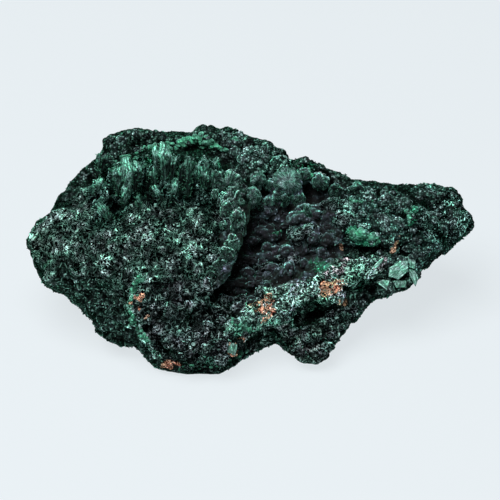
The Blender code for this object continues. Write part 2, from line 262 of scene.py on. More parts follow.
@dataclass
class Surface:
    """Triangles in the face frame.

    Attributes:
        points: (n, 3), in millimetres.
        faces: corner numbers (m, 3).
        shades: for crystals, each point's tone and its reach from root to tip (n, 2).
        tints: for ground and lumps, each point's linear colour (n, 3).
        grain: for fibrous finishes, each point's place across the fibres, twice, and along them (n, 3).
        closing: how many of the last faces only close an open border, and are shaded flat.
    """

    points: np.ndarray
    faces: np.ndarray
    shades: Optional[np.ndarray] = None
    tints: Optional[np.ndarray] = None
    grain: Optional[np.ndarray] = None
    closing: int = 0

    def squares(self) -> tuple[np.ndarray, np.ndarray]:
        """Each face's corners (m, 3, 3), and its normal, twice as long as its area (m, 3)."""
        corners = self.points[self.faces]
        return corners, np.cross(corners[:, 1] - corners[:, 0], corners[:, 2] - corners[:, 0])

    def normals(self) -> np.ndarray:
        """Each point's normal: the mean of the faces round it, by area."""
        square = self.squares()[1]
        total = np.zeros_like(self.points)
        for corner in range(3):
            for axis in range(3):
                total[:, axis] += np.bincount(self.faces[:, corner], square[:, axis], len(self.points))
        return unit(total)

    def part(self, keep: np.ndarray, inside: tuple[float, float, float]) -> "Surface":
        """The faces that are kept, closed by triangles from each open edge to one point inside."""
        faces = self.faces[keep]
        used, faces = np.unique(faces, return_inverse=True)
        faces = faces.reshape(-1, 3)
        points = self.points[used]
        edges = np.concatenate([faces[:, [0, 1]], faces[:, [1, 2]], faces[:, [2, 0]]])
        codes = edges[:, 0] * len(points) + edges[:, 1]
        back = edges[:, 1] * len(points) + edges[:, 0]
        border = edges[~np.isin(codes, back)]
        cap = np.stack([border[:, 1], border[:, 0], np.full(len(border), len(points))], axis=1)
        tints = self.tints[used] if self.tints is not None else np.zeros((len(points), 3))
        return Surface(
            np.concatenate([points, np.array([inside])]),
            np.concatenate([faces, cap]),
            tints=np.concatenate([tints, tints[:1]]),
            closing=len(cap),
        )

    def mesh_object(
        self, name: str, materials: Sequence[bpy.types.Material], smooth: bool
    ) -> bpy.types.Object:
        """Makes the object, in metres in the row frame, riding on the frame's only body."""
        mesh = bpy.data.meshes.new(name)
        mesh.vertices.add(len(self.points))
        mesh.vertices.foreach_set("co", FACE.to_row(self.points).astype(np.float32).ravel())
        mesh.loops.add(self.faces.size)
        mesh.loops.foreach_set("vertex_index", self.faces.astype(np.int32).ravel())
        mesh.polygons.add(len(self.faces))
        mesh.polygons.foreach_set("loop_start", np.arange(0, self.faces.size, 3, dtype=np.int32))
        mesh.update(calc_edges=True)
        open_faces = len(self.faces) - self.closing
        mesh.polygons.foreach_set("use_smooth", smooth & (np.arange(len(self.faces)) < open_faces))
        if self.shades is not None:
            layer = mesh.uv_layers.new(name=BAKE_MAP)
            layer.uv.foreach_set("vector", self.shades[self.faces.ravel()].astype(np.float32).ravel())
        if self.tints is not None:
            tints = np.concatenate([np.clip(self.tints, 0.0, 1.0), np.ones((len(self.points), 1))], axis=1)
            attribute = mesh.attributes.new(TINT, "FLOAT_COLOR", "POINT")
            attribute.data.foreach_set("color", tints.astype(np.float32).ravel())
        if self.grain is not None:
            attribute = mesh.attributes.new(GRAIN, "FLOAT_VECTOR", "POINT")
            attribute.data.foreach_set("vector", self.grain.astype(np.float32).ravel())
        obj = bpy.data.objects.new(name, mesh)
        bpy.context.scene.collection.objects.link(obj)
        for material in materials:
            mesh.materials.append(material)
        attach(obj, "root")
        log.info("%s: %d triangles", name, len(self.faces))
        return obj


def read_surface(mesh: bpy.types.Mesh) -> Surface:
    """The triangles of a mesh that lies in the row frame."""
    points = np.empty(len(mesh.vertices) * 3)
    mesh.vertices.foreach_get("co", points)
    faces = np.empty(len(mesh.polygons) * 3, dtype=np.int64)
    mesh.polygons.foreach_get("vertices", faces)
    return Surface(FACE.from_row(points.reshape(-1, 3)), faces.reshape(-1, 3))


def sampled(wanted: np.ndarray, rng: np.random.Generator) -> tuple[np.ndarray, np.ndarray]:
    """Random places on random faces.

    Args:
        wanted: how many places each face has on average (m,).
        rng: the source of chance.

    Returns:
        The faces' numbers (n,), and each place's shares of its face's corners (n, 3, 1).
    """
    chosen = rng.choice(len(wanted), int(wanted.sum()), p=wanted / wanted.sum())
    first, second = np.sqrt(rng.random(len(chosen))), rng.random(len(chosen))
    return chosen, np.stack([1.0 - first, first * (1.0 - second), first * second], axis=1)[..., None]


def walls_between(low: np.ndarray, around: int) -> np.ndarray:
    """Two triangles for each side of a tube between rings of points, the lower ring starting at low."""
    here = np.arange(around)
    after = (here + 1) % around
    corners = (here, after, around + after, here, around + after, around + here)
    return np.stack([low + corner for corner in corners], axis=-1).reshape(-1, 3)


def joined(surfaces: Sequence[Surface]) -> Surface:
    """Several surfaces as one."""
    starts = np.cumsum([0] + [len(surface.points) for surface in surfaces[:-1]])

    def gathered(values: list) -> Optional[np.ndarray]:
        """The arrays as one, or nothing where there are none."""
        return None if values[0] is None else np.concatenate(values)

    return Surface(
        np.concatenate([surface.points for surface in surfaces]),
        np.concatenate([surface.faces + start for surface, start in zip(surfaces, starts)]),
        gathered([surface.shades for surface in surfaces]),
        gathered([surface.tints for surface in surfaces]),
        gathered([surface.grain for surface in surfaces]),
    )


def hoops(rings: np.ndarray, tints: np.ndarray, grain: np.ndarray) -> Surface:
    """A closed skin over loops that stand side by side, with a fan of triangles over each end.

    Args:
        rings: points (loops, points on a loop, 3).
        tints: their colours, of the same shape.
        grain: their places on the fibres, of the same shape.

    Returns:
        The closed surface.
    """
    count, around = rings.shape[:2]
    here = np.arange(around)
    after = (here + 1) % around
    walls = walls_between((np.arange(count - 1) * around)[:, None], around)
    first, last = count * around, count * around + 1
    caps = [
        np.stack([after, here, np.full(around, first)], axis=1),
        np.stack([here, after, np.full(around, last - (count - 1) * around)], axis=1) + (count - 1) * around,
    ]
    points, colours, places = (
        np.concatenate([value.reshape(-1, 3), value[[0, -1]].mean(axis=1)]) for value in (rings, tints, grain)
    )
    return Surface(points, np.concatenate([walls, *caps]), tints=colours, grain=places)


def rods(
    lines: np.ndarray,
    radii: np.ndarray,
    swell: Sequence[float],
    sides: int,
    tones: np.ndarray,
) -> Surface:
    """Closed many-sided rods along centre lines: at each centre a ring stands square to the rod.

    Args:
        lines: centres of the rings (rods, rings, 3), root first.
        radii: each rod's greatest radius.
        swell: each ring's share of that radius.
        sides: corners of a ring.
        tones: each rod's tone, from 0 to 1.

    Returns:
        All the rods as one surface.
    """
    count, rings = lines.shape[:2]
    axes = unit(lines[:, -1] - lines[:, 0])
    helper = np.where(np.abs(axes[:, 2:]) < 0.9, (0.0, 0.0, 1.0), (1.0, 0.0, 0.0))
    first = unit(np.cross(axes, helper))
    second = np.cross(axes, first)
    roll = 2.0 * math.pi * (np.arange(sides) / sides + hashed(lines[:, 0] * 997.0, 3)[:, None])
    ring = np.cos(roll)[..., None] * first[:, None] + np.sin(roll)[..., None] * second[:, None]
    width = radii[:, None] * np.array(swell)
    points = lines[:, :, None] + ring[:, None] * width[:, :, None, None]

    walls = walls_between((np.arange(rings - 1) * sides)[:, None], sides)
    caps = [
        (0, k + 1, k) if low == 0 else (low, low + k, low + k + 1)
        for low in (0, (rings - 1) * sides)
        for k in range(1, sides - 1)
    ]
    template = np.concatenate([walls, np.array(caps)])
    faces = (template[None] + np.arange(count)[:, None, None] * rings * sides).reshape(-1, 3)
    reach = np.linspace(0.02, 0.98, rings)
    shades = np.empty((count, rings, sides, 2))
    shades[..., 0] = np.clip(tones, 0.01, 0.99)[:, None, None]
    shades[..., 1] = reach[None, :, None]
    return Surface(points.reshape(-1, 3), faces, shades.reshape(-1, 2))


# Materials --------------------------------------------------------------------------------------


def colour(code: str) -> tuple[float, float, float, float]:
    """A shader's linear colour from an sRGB hex code."""
    parts = [int(code[i : i + 2], 16) / 255.0 for i in (1, 3, 5)]
    linear = [part / 12.92 if part <= 0.04045 else ((part + 0.055) / 1.055) ** 2.4 for part in parts]
    return (*linear, 1.0)


def span(value: bpy.types.NodeSocket, source: tuple, target: tuple) -> dict:
    """A Map Range node's inputs, for a value that goes from one range to another."""
    return {
        "Value": value,
        "From Min": source[0],
        "From Max": source[1],
        "To Min": target[0],
        "To Max": target[1],
    }


class Graph:
    """A material's node tree, with one way to add a node."""

    def __init__(self, name: str) -> None:
        """Starts an empty node material of that name."""
        self.material = bpy.data.materials.new(name)
        self.material.use_nodes = True
        self.tree = self.material.node_tree
        self.tree.nodes.clear()

    def add(
        self, kind: str, settings: Optional[dict] = None, inputs: Optional[dict] = None
    ) -> bpy.types.bpy_prop_collection:
        """Adds a node.

        Args:
            kind: the node's type without "ShaderNode", such as "Mix".
            settings: the node's own properties. A ramp's "stops" are (place, sRGB hex code).
            inputs: a constant, or a socket to link from, for each input by name or number.

        Returns:
            The node's outputs.
        """
        node = self.tree.nodes.new(f"ShaderNode{kind}")
        for name, value in (settings or {}).items():
            if name == "stops":
                self._set_stops(node.color_ramp.elements, value)
            else:
                setattr(node, name, value)
        for name, value in (inputs or {}).items():
            if isinstance(value, bpy.types.NodeSocket):
                self.tree.links.new(value, node.inputs[name])
            else:
                node.inputs[name].default_value = value
        return node.outputs

    def _set_stops(self, elements: bpy.types.ColorRampElements, stops: Sequence[tuple[float, str]]) -> None:
        """Gives a ramp its colours."""
        while len(elements) < len(stops):
            elements.new(0.5)
        for element, (place, code) in zip(elements, stops):
            element.position = place
            element.color = colour(code)

    def finish(self, surface: bpy.types.NodeSocket) -> bpy.types.Material:
        """Links the surface to the output and returns the material."""
        self.add("OutputMaterial", inputs={"Surface": surface})
        return self.material


@dataclass(frozen=True)
class CrystalFinish:
    """Grown crystals, coloured from painted shade at their roots to their tips.

    Attributes:
        painted_root_shade: colour at the root: painted shade deep in the pile.
        dull: body and tip colours of the dullest crystals.
        bright: body and tip colours of the brightest ones.
        roughness: at the tip; the root is fully rough.
        ior: refractive index.
        shine: specular level at the tip. The roots, deep in the pile, have none.
    """

    name: str
    painted_root_shade: str
    dull: tuple[str, str]
    bright: tuple[str, str]
    roughness: float = 0.4
    ior: float = 1.75
    shine: float = 0.04

    def material(self) -> bpy.types.Material:
        """Builds the node material, which reads only the piece's own bake map."""
        graph = Graph(self.name)
        place = graph.add("UVMap", {"uv_map": BAKE_MAP})["UV"]
        split = graph.add("SeparateXYZ", inputs={0: place})
        tone, reach = split["X"], split["Y"]
        stops = [(0.0, self.painted_root_shade), (0.3, self.dull[0]), (1.0, self.dull[1])]
        dull = graph.add("ValToRGB", {"stops": stops}, {"Fac": reach})["Color"]
        stops = [(0.0, self.painted_root_shade), (0.25, self.bright[0]), (1.0, self.bright[1])]
        bright = graph.add("ValToRGB", {"stops": stops}, {"Fac": reach})["Color"]
        rough = graph.add("MapRange", inputs=span(reach, (0.0, 1.0), (0.95, self.roughness)))[0]
        shine = graph.add("MapRange", inputs=span(reach, (0.0, 1.0), (0.0, self.shine)))[0]
        mixed = graph.add("Mix", {"data_type": "RGBA"}, {0: tone, 6: dull, 7: bright})[2]
        shader = graph.add(
            "BsdfPrincipled",
            inputs={
                "Base Color": mixed,
                "Roughness": rough,
                "Specular IOR Level": shine,
                "IOR": self.ior,
            },
        )
        return graph.finish(shader[0])


class Pattern(Enum):
    """What a rough surface is made of, seen close."""

    TANGLED = "thin strands, tangled"
    GRANULAR = "grains side by side"
    FIBROUS = "straight fibres side by side"


@dataclass(frozen=True)
class RoughFinish:
    """A rough surface that multiplies its own point colours by a fine pattern.

    Attributes:
        name: the material's name.
        pattern: what it is made of.
        size: spacing of the strands or width of the grains, in millimetres.
        dark: what is left of the colour between them.
        bright: what the colour is multiplied by on the brightest.
        depth: how deep the gaps between them look, in millimetres.
        roughness: on the strands or grains.
        shine: specular level.
        sheen: weight of the fuzz, which brightens the rims of what it covers.
        ior: refractive index.
        sparse: of grains, how few are bright: 1 for half of them.
    """

    # What a strand or grain is multiplied by: greyish or fully green.
    GREY_CAST: ClassVar[tuple] = (1.36, 0.98, 1.18, 1.0)
    GREEN_CAST: ClassVar[tuple] = (0.88, 1.04, 1.0, 1.0)
    # How much lighter the strands or grains are in their darkest and in their lightest patches.
    PATCHES: ClassVar[tuple] = (0.5, 1.35)
    # A patch, and a stretch of one cast, have this many to the pattern's own size.
    PATCHES_TO_SIZE: ClassVar[float] = 0.22
    CASTS_TO_SIZE: ClassVar[float] = 0.3
    # The fuzz's own colour, and how rough the gaps are.
    FUZZ: ClassVar[str] = "#8fd9bf"
    GAP_ROUGHNESS: ClassVar[float] = 0.95

    name: str
    pattern: Pattern
    size: float
    dark: float = 0.12
    bright: float = 2.4
    depth: float = 0.2
    roughness: float = 0.5
    shine: float = 0.15
    sheen: float = 0.0
    ior: float = 1.75
    sparse: float = 1.5

    def _scale(self, bumps: float) -> float:
        """The scale of a texture with so many bumps to the pattern's own size."""
        return bumps / (self.size * MM)

    def _strands(self, graph: Graph, place: bpy.types.NodeSocket) -> bpy.types.NodeSocket:
        """1 along the lines where a twisted noise crosses its middle, falling off to 0 beside them."""
        twisted = {"Vector": place, "Scale": self._scale(1.0), "Detail": 0.6, "Distortion": 1.4}
        field = graph.add("TexNoise", inputs=twisted)["Fac"]
        beside = graph.add("Math", {"operation": "SUBTRACT"}, {0: field, 1: 0.5})[0]
        aside = graph.add("Math", {"operation": "ABSOLUTE"}, {0: beside, 1: 0.0})[0]
        return graph.add("MapRange", inputs=span(aside, (0.022, 0.066), (1.0, 0.0)))[0]

    def _grains(self, graph: Graph, place: bpy.types.NodeSocket) -> bpy.types.NodeSocket:
        """Each grain has its own value from 0 to 1, and falls to 0 at its borders."""
        bent = graph.add("TexNoise", inputs={"Vector": place, "Scale": self._scale(0.6)})["Color"]
        shift = graph.add("VectorMath", {"operation": "SCALE"}, {0: bent, "Scale": self.size * MM})[0]
        moved = graph.add("VectorMath", {"operation": "ADD"}, {0: place, 1: shift})[0]
        cells = graph.add("TexVoronoi", inputs={"Vector": moved, "Scale": self._scale(1.0)})
        chance = graph.add("SeparateXYZ", inputs={0: cells["Color"]})["X"]
        own = graph.add("Math", {"operation": "POWER"}, {0: chance, 1: self.sparse})[0]
        middle = graph.add("MapRange", inputs=span(cells["Distance"], (0.25, 0.62), (1.0, 0.0)))[0]
        return graph.add("Math", {"operation": "MULTIPLY"}, {0: own, 1: middle})[0]

    def _fibres(self, graph: Graph, place: bpy.types.NodeSocket) -> bpy.types.NodeSocket:
        """Light and dark streaks, three times as long as wide, broken by fine grains.

        They follow the piece's own grain.
        """
        grain = graph.add("Attribute", {"attribute_name": GRAIN})["Vector"]
        across, along = 1.0 / self.size, 1.0 / (3.0 * self.size)
        drawn = graph.add("Mapping", inputs={0: grain, "Scale": (across, across, along)})[0]
        streaks = graph.add("TexNoise", inputs={"Vector": drawn, "Scale": 1.0, "Detail": 1.0})["Fac"]
        fine = {"Vector": place, "Scale": 1.0 / (0.9 * self.size * MM)}
        broken = graph.add("TexNoise", inputs=fine)["Fac"]
        whole = graph.add("MapRange", inputs=span(streaks, (0.38, 0.66), (0.0, 1.0)))[0]
        part = graph.add("MapRange", inputs=span(broken, (0.35, 0.6), (0.1, 1.0)))[0]
        return graph.add("Math", {"operation": "MULTIPLY"}, {0: whole, 1: part})[0]

    def _pattern(self, graph: Graph, place: bpy.types.NodeSocket) -> bpy.types.NodeSocket:
        """The pattern's value: 1 on the brightest strands or grains and 0 between them."""
        makers = {
            Pattern.TANGLED: self._strands,
            Pattern.GRANULAR: self._grains,
            Pattern.FIBROUS: self._fibres,
        }
        return makers[self.pattern](graph, place)

    def material(self) -> bpy.types.Material:
        """Builds the node material: the point's colour, times the pattern, times the cast."""
        graph = Graph(self.name)
        place = graph.add("TexCoord")["Object"]
        tint = graph.add("Attribute", {"attribute_name": TINT})["Color"]
        value = self._pattern(graph, place)
        wide = {"Vector": place, "Scale": self._scale(self.PATCHES_TO_SIZE)}
        patches = graph.add("TexNoise", inputs=wide)["Fac"]
        share = graph.add("MapRange", inputs=span(patches, (0.35, 0.65), self.PATCHES))[0]
        lit = graph.add("Math", {"operation": "MULTIPLY"}, {0: value, 1: share})[0]
        gain = span(lit, (0.0, 1.0), (self.dark, self.bright))
        factor = graph.add("MapRange", {"clamp": False}, gain)[0]
        fine = graph.add("VectorMath", {"operation": "SCALE"}, {0: tint, "Scale": factor})[0]
        stretch = {"Vector": place, "Scale": self._scale(self.CASTS_TO_SIZE)}
        casts = graph.add("TexNoise", inputs=stretch)["Fac"]
        green = graph.add("MapRange", inputs=span(casts, (0.36, 0.62), (0.0, 1.0)))[0]
        both = {0: green, 6: self.GREY_CAST, 7: self.GREEN_CAST}
        cast = graph.add("Mix", {"data_type": "RGBA"}, both)[2]
        hued = graph.add("VectorMath", {"operation": "MULTIPLY"}, {0: fine, 1: cast})[0]
        relief = {"Height": value, "Distance": self.depth * MM, "Strength": 1.0}
        bump = graph.add("Bump", inputs=relief)[0]
        dulled = span(value, (0.0, 1.0), (self.GAP_ROUGHNESS, self.roughness))
        rough = graph.add("MapRange", inputs=dulled)[0]
        shader = graph.add(
            "BsdfPrincipled",
            inputs={
                "Base Color": hued,
                "Roughness": rough,
                "Specular IOR Level": self.shine,
                "IOR": self.ior,
                "Sheen Weight": self.sheen,
                "Sheen Roughness": 0.3,
                "Sheen Tint": colour(self.FUZZ),
                "Normal": bump,
            },
        )
        return graph.finish(shader[0])


class Rough(Enum):
    """The finishes of the ground and of the lumps and fans on it."""

    # Felt of malachite needles: bright strands over nearly black gaps.
    VELVET = RoughFinish("velvet malachite ground", Pattern.TANGLED, 0.9, 0.01, 3.3, 0.3, 0.6, 0.0)
    # Granular malachite, each grain turned its own way to the light.
    CRUST = RoughFinish("granular malachite ground", Pattern.GRANULAR, 0.55, 0.12, 3.6, 0.35, 0.5, 0.02)
    # Porous malachite: a sponge of fine light ribs round dark holes.
    SPONGE = RoughFinish("porous malachite ground", Pattern.TANGLED, 1.2, 0.05, 2.2, 0.35, 0.6, 0.0)
    # Smooth, nearly black grapes, polished enough for small highlights.
    GRAPES = RoughFinish(
        "dark botryoidal malachite", Pattern.GRANULAR, 0.6, 0.4, 5.0, 0.35, 0.3, 0.2, sparse=3.0
    )
    # Fibres broken along their length: silky, with a light edge.
    SILK = RoughFinish("silky malachite", Pattern.FIBROUS, 0.38, 0.14, 3.4, 0.15, 0.5, 0.02, 0.02)
    # Short plush pile, whose rims catch the light.
    PLUSH = RoughFinish("plush malachite", Pattern.FIBROUS, 0.4, 0.25, 2.6, 0.08, 0.6, 0.0, 0.5)
    # Thin pale plates of parallel fibres.
    PLATE = RoughFinish(
        "pale fibrous malachite plate", Pattern.FIBROUS, 0.38, 0.35, 2.2, 0.1, 0.45, 0.05, 0.02
    )
    # Solid bright green malachite, finely pitted.
    GREEN = RoughFinish("bright green malachite crust", Pattern.GRANULAR, 0.5, 0.6, 2.0, 0.15, 0.5, 0.03)
    # The broken, weathered rear.
    REAR = RoughFinish("weathered malachite and matrix", Pattern.GRANULAR, 0.8, 0.25, 3.0, 0.3, 0.6, 0.02)


class Crystal(Enum):
    """The crystals' finishes."""

    # Needles of malachite: silvery green where the light runs along them.
    VELVET = CrystalFinish(
        "velvet malachite needles", "#010302", ("#050d0b", "#0e1f1a"), ("#568577", "#8cc2b0")
    )
    # Parallel fibres broken open, brighter and greener than the velvet, with a silky lustre.
    SILK = CrystalFinish(
        "silky malachite fibres", "#020604", ("#071510", "#15382b"), ("#3a8a6b", "#8fe0bd"), 0.35
    )
    # Short green pile on the balls and along the torn lip.
    PILE = CrystalFinish("plush malachite pile", "#04100c", ("#0a1d17", "#1a4236"), ("#3a806a", "#9ad8c0"))
    # Dark grains in the hollow, almost black, with a violet cast.
    GRAPE = CrystalFinish(
        "dark malachite grains", "#020203", ("#08090c", "#14181c"), ("#2f3f42", "#86aba6"), 0.35
    )
    # Coarse grains of the tapering end.
    CRUST = CrystalFinish("granular malachite", "#010403", ("#050c0a", "#10211c"), ("#3d7768", "#a0dcc9"))
    # Crumbs of paler malachite in the light-coloured ridge.
    MINT = CrystalFinish(
        "pale malachite crumbs", "#0a1612", ("#2a5c4d", "#4f9a82"), ("#79b7a3", "#b8dfd0"), 0.45
    )
    # Bright green crumbs and ledges.
    GREEN = CrystalFinish(
        "bright green malachite", "#04140d", ("#14553e", "#2b8a63"), ("#3aa57c", "#7fdcb4"), 0.45
    )
    # Rust-coloured iron hydroxide.
    LIMONITE = CrystalFinish("limonite", "#3b2212", ("#a4775a", "#cda07e"), ("#dfb697", "#f8dcc6"), 0.7, 1.6)


MATERIALS: dict[Rough, bpy.types.Material] = {}


# The ground -------------------------------------------------------------------------------------


@dataclass(frozen=True)
class Ground:
    """One kind of ground.

    Attributes:
        finish: its material.
        code: its colour where it is brightest, as a hex code.
        patches: where it lies.
        lump: size of its main lumps, in millimetres.
        height: how far they stand out of their creases.
        light: share of its colour that it has on the whole.
        crease: how much of that is lost to painted shade in the creases.
        net: mesh of the network of fine light ridges over it, in millimetres.
    """

    finish: Rough
    code: str
    patches: tuple[Patch, ...]
    lump: float
    height: float
    light: float
    crease: float = 0.85
    net: float = 1.5


@dataclass(frozen=True)
class Stain:
    """A patch of another mineral, in clumps.

    Attributes:
        code: its colour, as a hex code.
        patches: where it lies.
        light: share of its colour that it has.
        cover: 0 for a few clumps, 1 for a whole cover.
        clump: the clumps' size, in millimetres.
        rise: how far they stand out.
    """

    code: str
    patches: tuple[Patch, ...]
    light: float = 0.5
    cover: float = 0.5
    clump: float = 1.2
    rise: float = 0.3


@dataclass(frozen=True)
class SkinSizes:
    """Sizes of the skin, in millimetres.

    Attributes:
        face_mesh: distance between the show face's points.
        back_mesh: distance between the rear's points.
        inset: how far it lies inside the solid, to leave room for the crystals.
        most_out: how far its highest lumps may stand out of the solid.
        smoothing: rounds that take the solid's facets off, at a spacing of 0.5 mm.
        overlap: how far the face and the rear run on past the rim, into each other.
        split: where the face's mesh is parted in two, in "along".
        inner_out: how far out the point lies that closes each part inside, below "split".
        plain_foot: how high above the resting plane the ground is rough all the way.
        swell, swell_size: height and width of the low swellings under all grounds.
        patch_size: width of the lighter and darker patches.
        shadow: how much of its colour a place in deep shadow loses.
        near_shade: how much darker, as painted shade, each millimetre of a narrow pit makes it.
        far_shade: the same painted shade for a wide hollow.
        painted_rim_colour: colour of the painted rim light on the outline, where the ground turns away.
        painted_rim_light: how much of that painted rim light it has.
    """

    face_mesh: float = 0.3
    back_mesh: float = 0.75
    inset: float = 0.22
    most_out: float = 0.25
    smoothing: int = 5
    overlap: float = 1.0
    split: float = -1.0
    inner_out: float = -12.0
    plain_foot: float = 1.5
    swell: float = 0.4
    swell_size: float = 6.0
    patch_size: float = 4.5
    shadow: float = 0.93
    near_shade: float = 1.5
    far_shade: float = 0.16
    painted_rim_colour: str = "#4a9a78"
    painted_rim_light: float = 0.4


@dataclass
class SkinSide:
    """One side of the skin: its surface, and at each point its relief and the number of its ground.

    The relief is 1 on a lump's top and 0 in a crease.
    """

    surface: Surface
    relief: np.ndarray
    kinds: np.ndarray


class Skin:
    """The rough ground over the whole specimen, which stands in for the solid."""

    def __init__(self, solid: bpy.types.Object, sizes: SkinSizes) -> None:
        """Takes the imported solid's shape; the solid itself isn't changed."""
        self.sizes = sizes
        self.face = self._side(solid, sizes.face_mesh, Side.FRONT)
        self.back = self._side(solid, sizes.back_mesh, Side.BACK)
        self.height_field = HeightField(self.face.surface.points, 0.8)
        self.smooth_field = HeightField(self.face.surface.points, 2.4)

    def _remeshed(self, solid: bpy.types.Object, size: float) -> Surface:
        """An even mesh over a copy of the solid, with its facets smoothed off."""
        mesh = solid.data.copy()
        bm = bmesh.new()
        bm.from_mesh(mesh)
        bmesh.ops.remove_doubles(bm, verts=bm.verts, dist=1e-6)
        bm.to_mesh(mesh)
        bm.free()
        even = bpy.data.objects.new("even", mesh)
        bpy.context.scene.collection.objects.link(even)
        remesh = even.modifiers.new("remesh", "REMESH")
        remesh.mode = "VOXEL"
        remesh.voxel_size = size * MM
        smooth = even.modifiers.new("smooth", "SMOOTH")
        smooth.factor = 0.5
        smooth.iterations = max(2, round(self.sizes.smoothing * (0.5 / size) ** 2))
        even.modifiers.new("triangles", "TRIANGULATE")
        depsgraph = bpy.context.evaluated_depsgraph_get()
        result = bpy.data.meshes.new_from_object(even.evaluated_get(depsgraph))
        bpy.data.objects.remove(even)
        return read_surface(result)

    def _side(self, solid: bpy.types.Object, size: float, side: Side) -> "SkinSide":
        """One side of the skin, roughened and coloured.

        The outline of the face gets painted rim light: it is brighter and greener the further the ground turns
        away there. Pits and hollows get painted shade.
        """
        whole = self._remeshed(solid, size)
        past = whole.points[:, 2] - FACE.rim(whole.points[:, 1])
        inside = past > -self.sizes.overlap if side is Side.FRONT else past < 0.4 * self.sizes.overlap
        keep = inside[whole.faces].all(axis=1)
        used, faces = np.unique(whole.faces[keep], return_inverse=True)
        points, normals = whole.points[used], whole.normals()[used]
        height, relief, tints, kinds = self._relief(points)
        clear = np.clip(FACE.above(points) / self.sizes.plain_foot, 0.0, 1.0)
        out = np.minimum(height - self.sizes.inset, self.sizes.most_out) * clear
        points = points + normals * out[:, None]
        if side is Side.FRONT:
            # Painted rim light on the outline, greener on lump tops, then painted shade in pits and hollows
            # and painted light on what stands above them.
            edge = np.clip(1.0 - normals[:, 2:], 0.0, 1.0) ** 2
            green = np.array(colour(self.sizes.painted_rim_colour)[:3]) * (0.3 + 0.7 * relief[:, None] ** 2)
            tints = tints * (1.0 + 0.7 * edge) * self._painted_relief_shade(points)[:, None]
            tints = tints + self.sizes.painted_rim_light * green * edge
        return SkinSide(Surface(points, faces.reshape(-1, 3), tints=tints), relief, kinds)

    def _painted_relief_shade(self, points: np.ndarray) -> np.ndarray:
        """How much of its colour each point keeps under painted shade: less below what lies round it, and
        more, as painted light, above it.

        The share is e to the sum of each height over its blurred surroundings, near and far, each
        with its own weight.
        """
        field = HeightField(points, 0.5)
        near, far = (points[:, 2] - field.blurred(reach).at(points[:, :2]) for reach in (0.9, 3.5))
        return np.clip(np.exp(self.sizes.near_shade * near + self.sizes.far_shade * far), 0.1, 1.4)

    def _relief(self, points: np.ndarray) -> tuple[np.ndarray, np.ndarray, np.ndarray, np.ndarray]:
        """The ground at each point.

        Lumps of each ground's own size meet in creases, smaller ones sit on them, and both are
        blended by how far each ground covers the point. Stains lie over that in clumps.

        Args:
            points: places (n, 3).

        Returns:
            Height in millimetres, relief from 0 in a crease to 1 on a top, linear colour (n, 3),
            and the number of the ground.
        """
        front = FACE.is_front(points)
        count = len(points)
        height, relief, kinds = np.zeros(count), np.zeros(count), np.zeros(count, dtype=int)
        tints = np.zeros((count, 3))
        for number, ground in enumerate(GROUNDS):
            share = covered(ground.patches, points) * front if ground.patches else np.ones(count)
            if number == 0:
                share = (~front).astype(float)
            here = share > 0.01
            rise, own, tint = self._own_ground(points[here], ground, number)
            part = share[here]
            height[here] += (rise - height[here]) * part
            relief[here] += (own - relief[here]) * part
            tints[here] += (tint - tints[here]) * part[:, None]
            kinds[np.flatnonzero(here)[part > 0.5]] = number
        height += self.sizes.swell * noise(points, self.sizes.swell_size, 2, 11)
        for number, stain in enumerate(STAINS):
            share = covered(stain.patches, points) * front
            here = share > 0.01
            clumps = noise(points[here], stain.clump, 3, 200 + number)
            part = share[here] * np.clip(3.0 * (clumps + stain.cover * 1.6 - 0.8) + 0.5, 0.0, 1.0)
            # Stains get painted light on lump tops and painted shade in the creases.
            stain_tone_and_shade = stain.light * (0.55 + 0.9 * relief[here] ** 2)
            tint = np.array(colour(stain.code)[:3]) * stain_tone_and_shade[:, None]
            tints[here] += (tint - tints[here]) * part[:, None]
            height[here] += stain.rise * part
        tints *= 1.0 - self.sizes.shadow * (covered(SHADOWS, points) * front)[:, None]
        return height, relief, tints, kinds

    def _own_ground(self, points: np.ndarray, ground: Ground, number: int) -> tuple:
        """What one ground would be at each point, if it were the only one.

        A point in a crease is low and darkened by painted shade, and a lump's top gets painted light. A net of
        fine ridges, where a noise crosses its middle, is higher and lighter, and light patches a few
        millimetres wide lie over all of it.

        Args:
            points: places (n, 3).
            ground: the ground.
            number: its place in the list, which keeps its chance apart from other grounds.

        Returns:
            Height in millimetres, relief from 0 to 1, and linear colour (n, 3).
        """
        bent = np.stack([noise(points, ground.lump, 2, channel) for channel in (61, 62, 63)], axis=1)
        spot = points + 0.35 * ground.lump * bent
        big = lumps(spot, ground.lump, 50 + 10 * number)
        small = lumps(spot, ground.lump * 0.42, 55 + 10 * number)
        net = np.clip(1.0 - 1.5 * np.abs(noise(points, ground.net, 2, 58)), 0.0, 1.0)
        own = np.clip(0.55 * big + 0.3 * small + 0.25 * net**2, 0.0, 1.0)
        rise = ground.height * (1.5 * (big - 0.75) + 0.6 * (small - 0.75)) + 0.3 * (net**2 - 0.5)
        patchy = np.exp(1.0 * noise(points, self.sizes.patch_size, 3, 70 + number) - 0.2)
        # Painted shade in the creases and painted light on the lumps' tops, from the relief.
        light = ground.light * patchy * (1.0 - ground.crease + ground.crease * 2.0 * own**4)
        light *= 0.45 + 1.2 * net**4
        return rise, own, np.array(colour(ground.code)[:3]) * np.clip(light, 0.0, 1.5)[:, None]

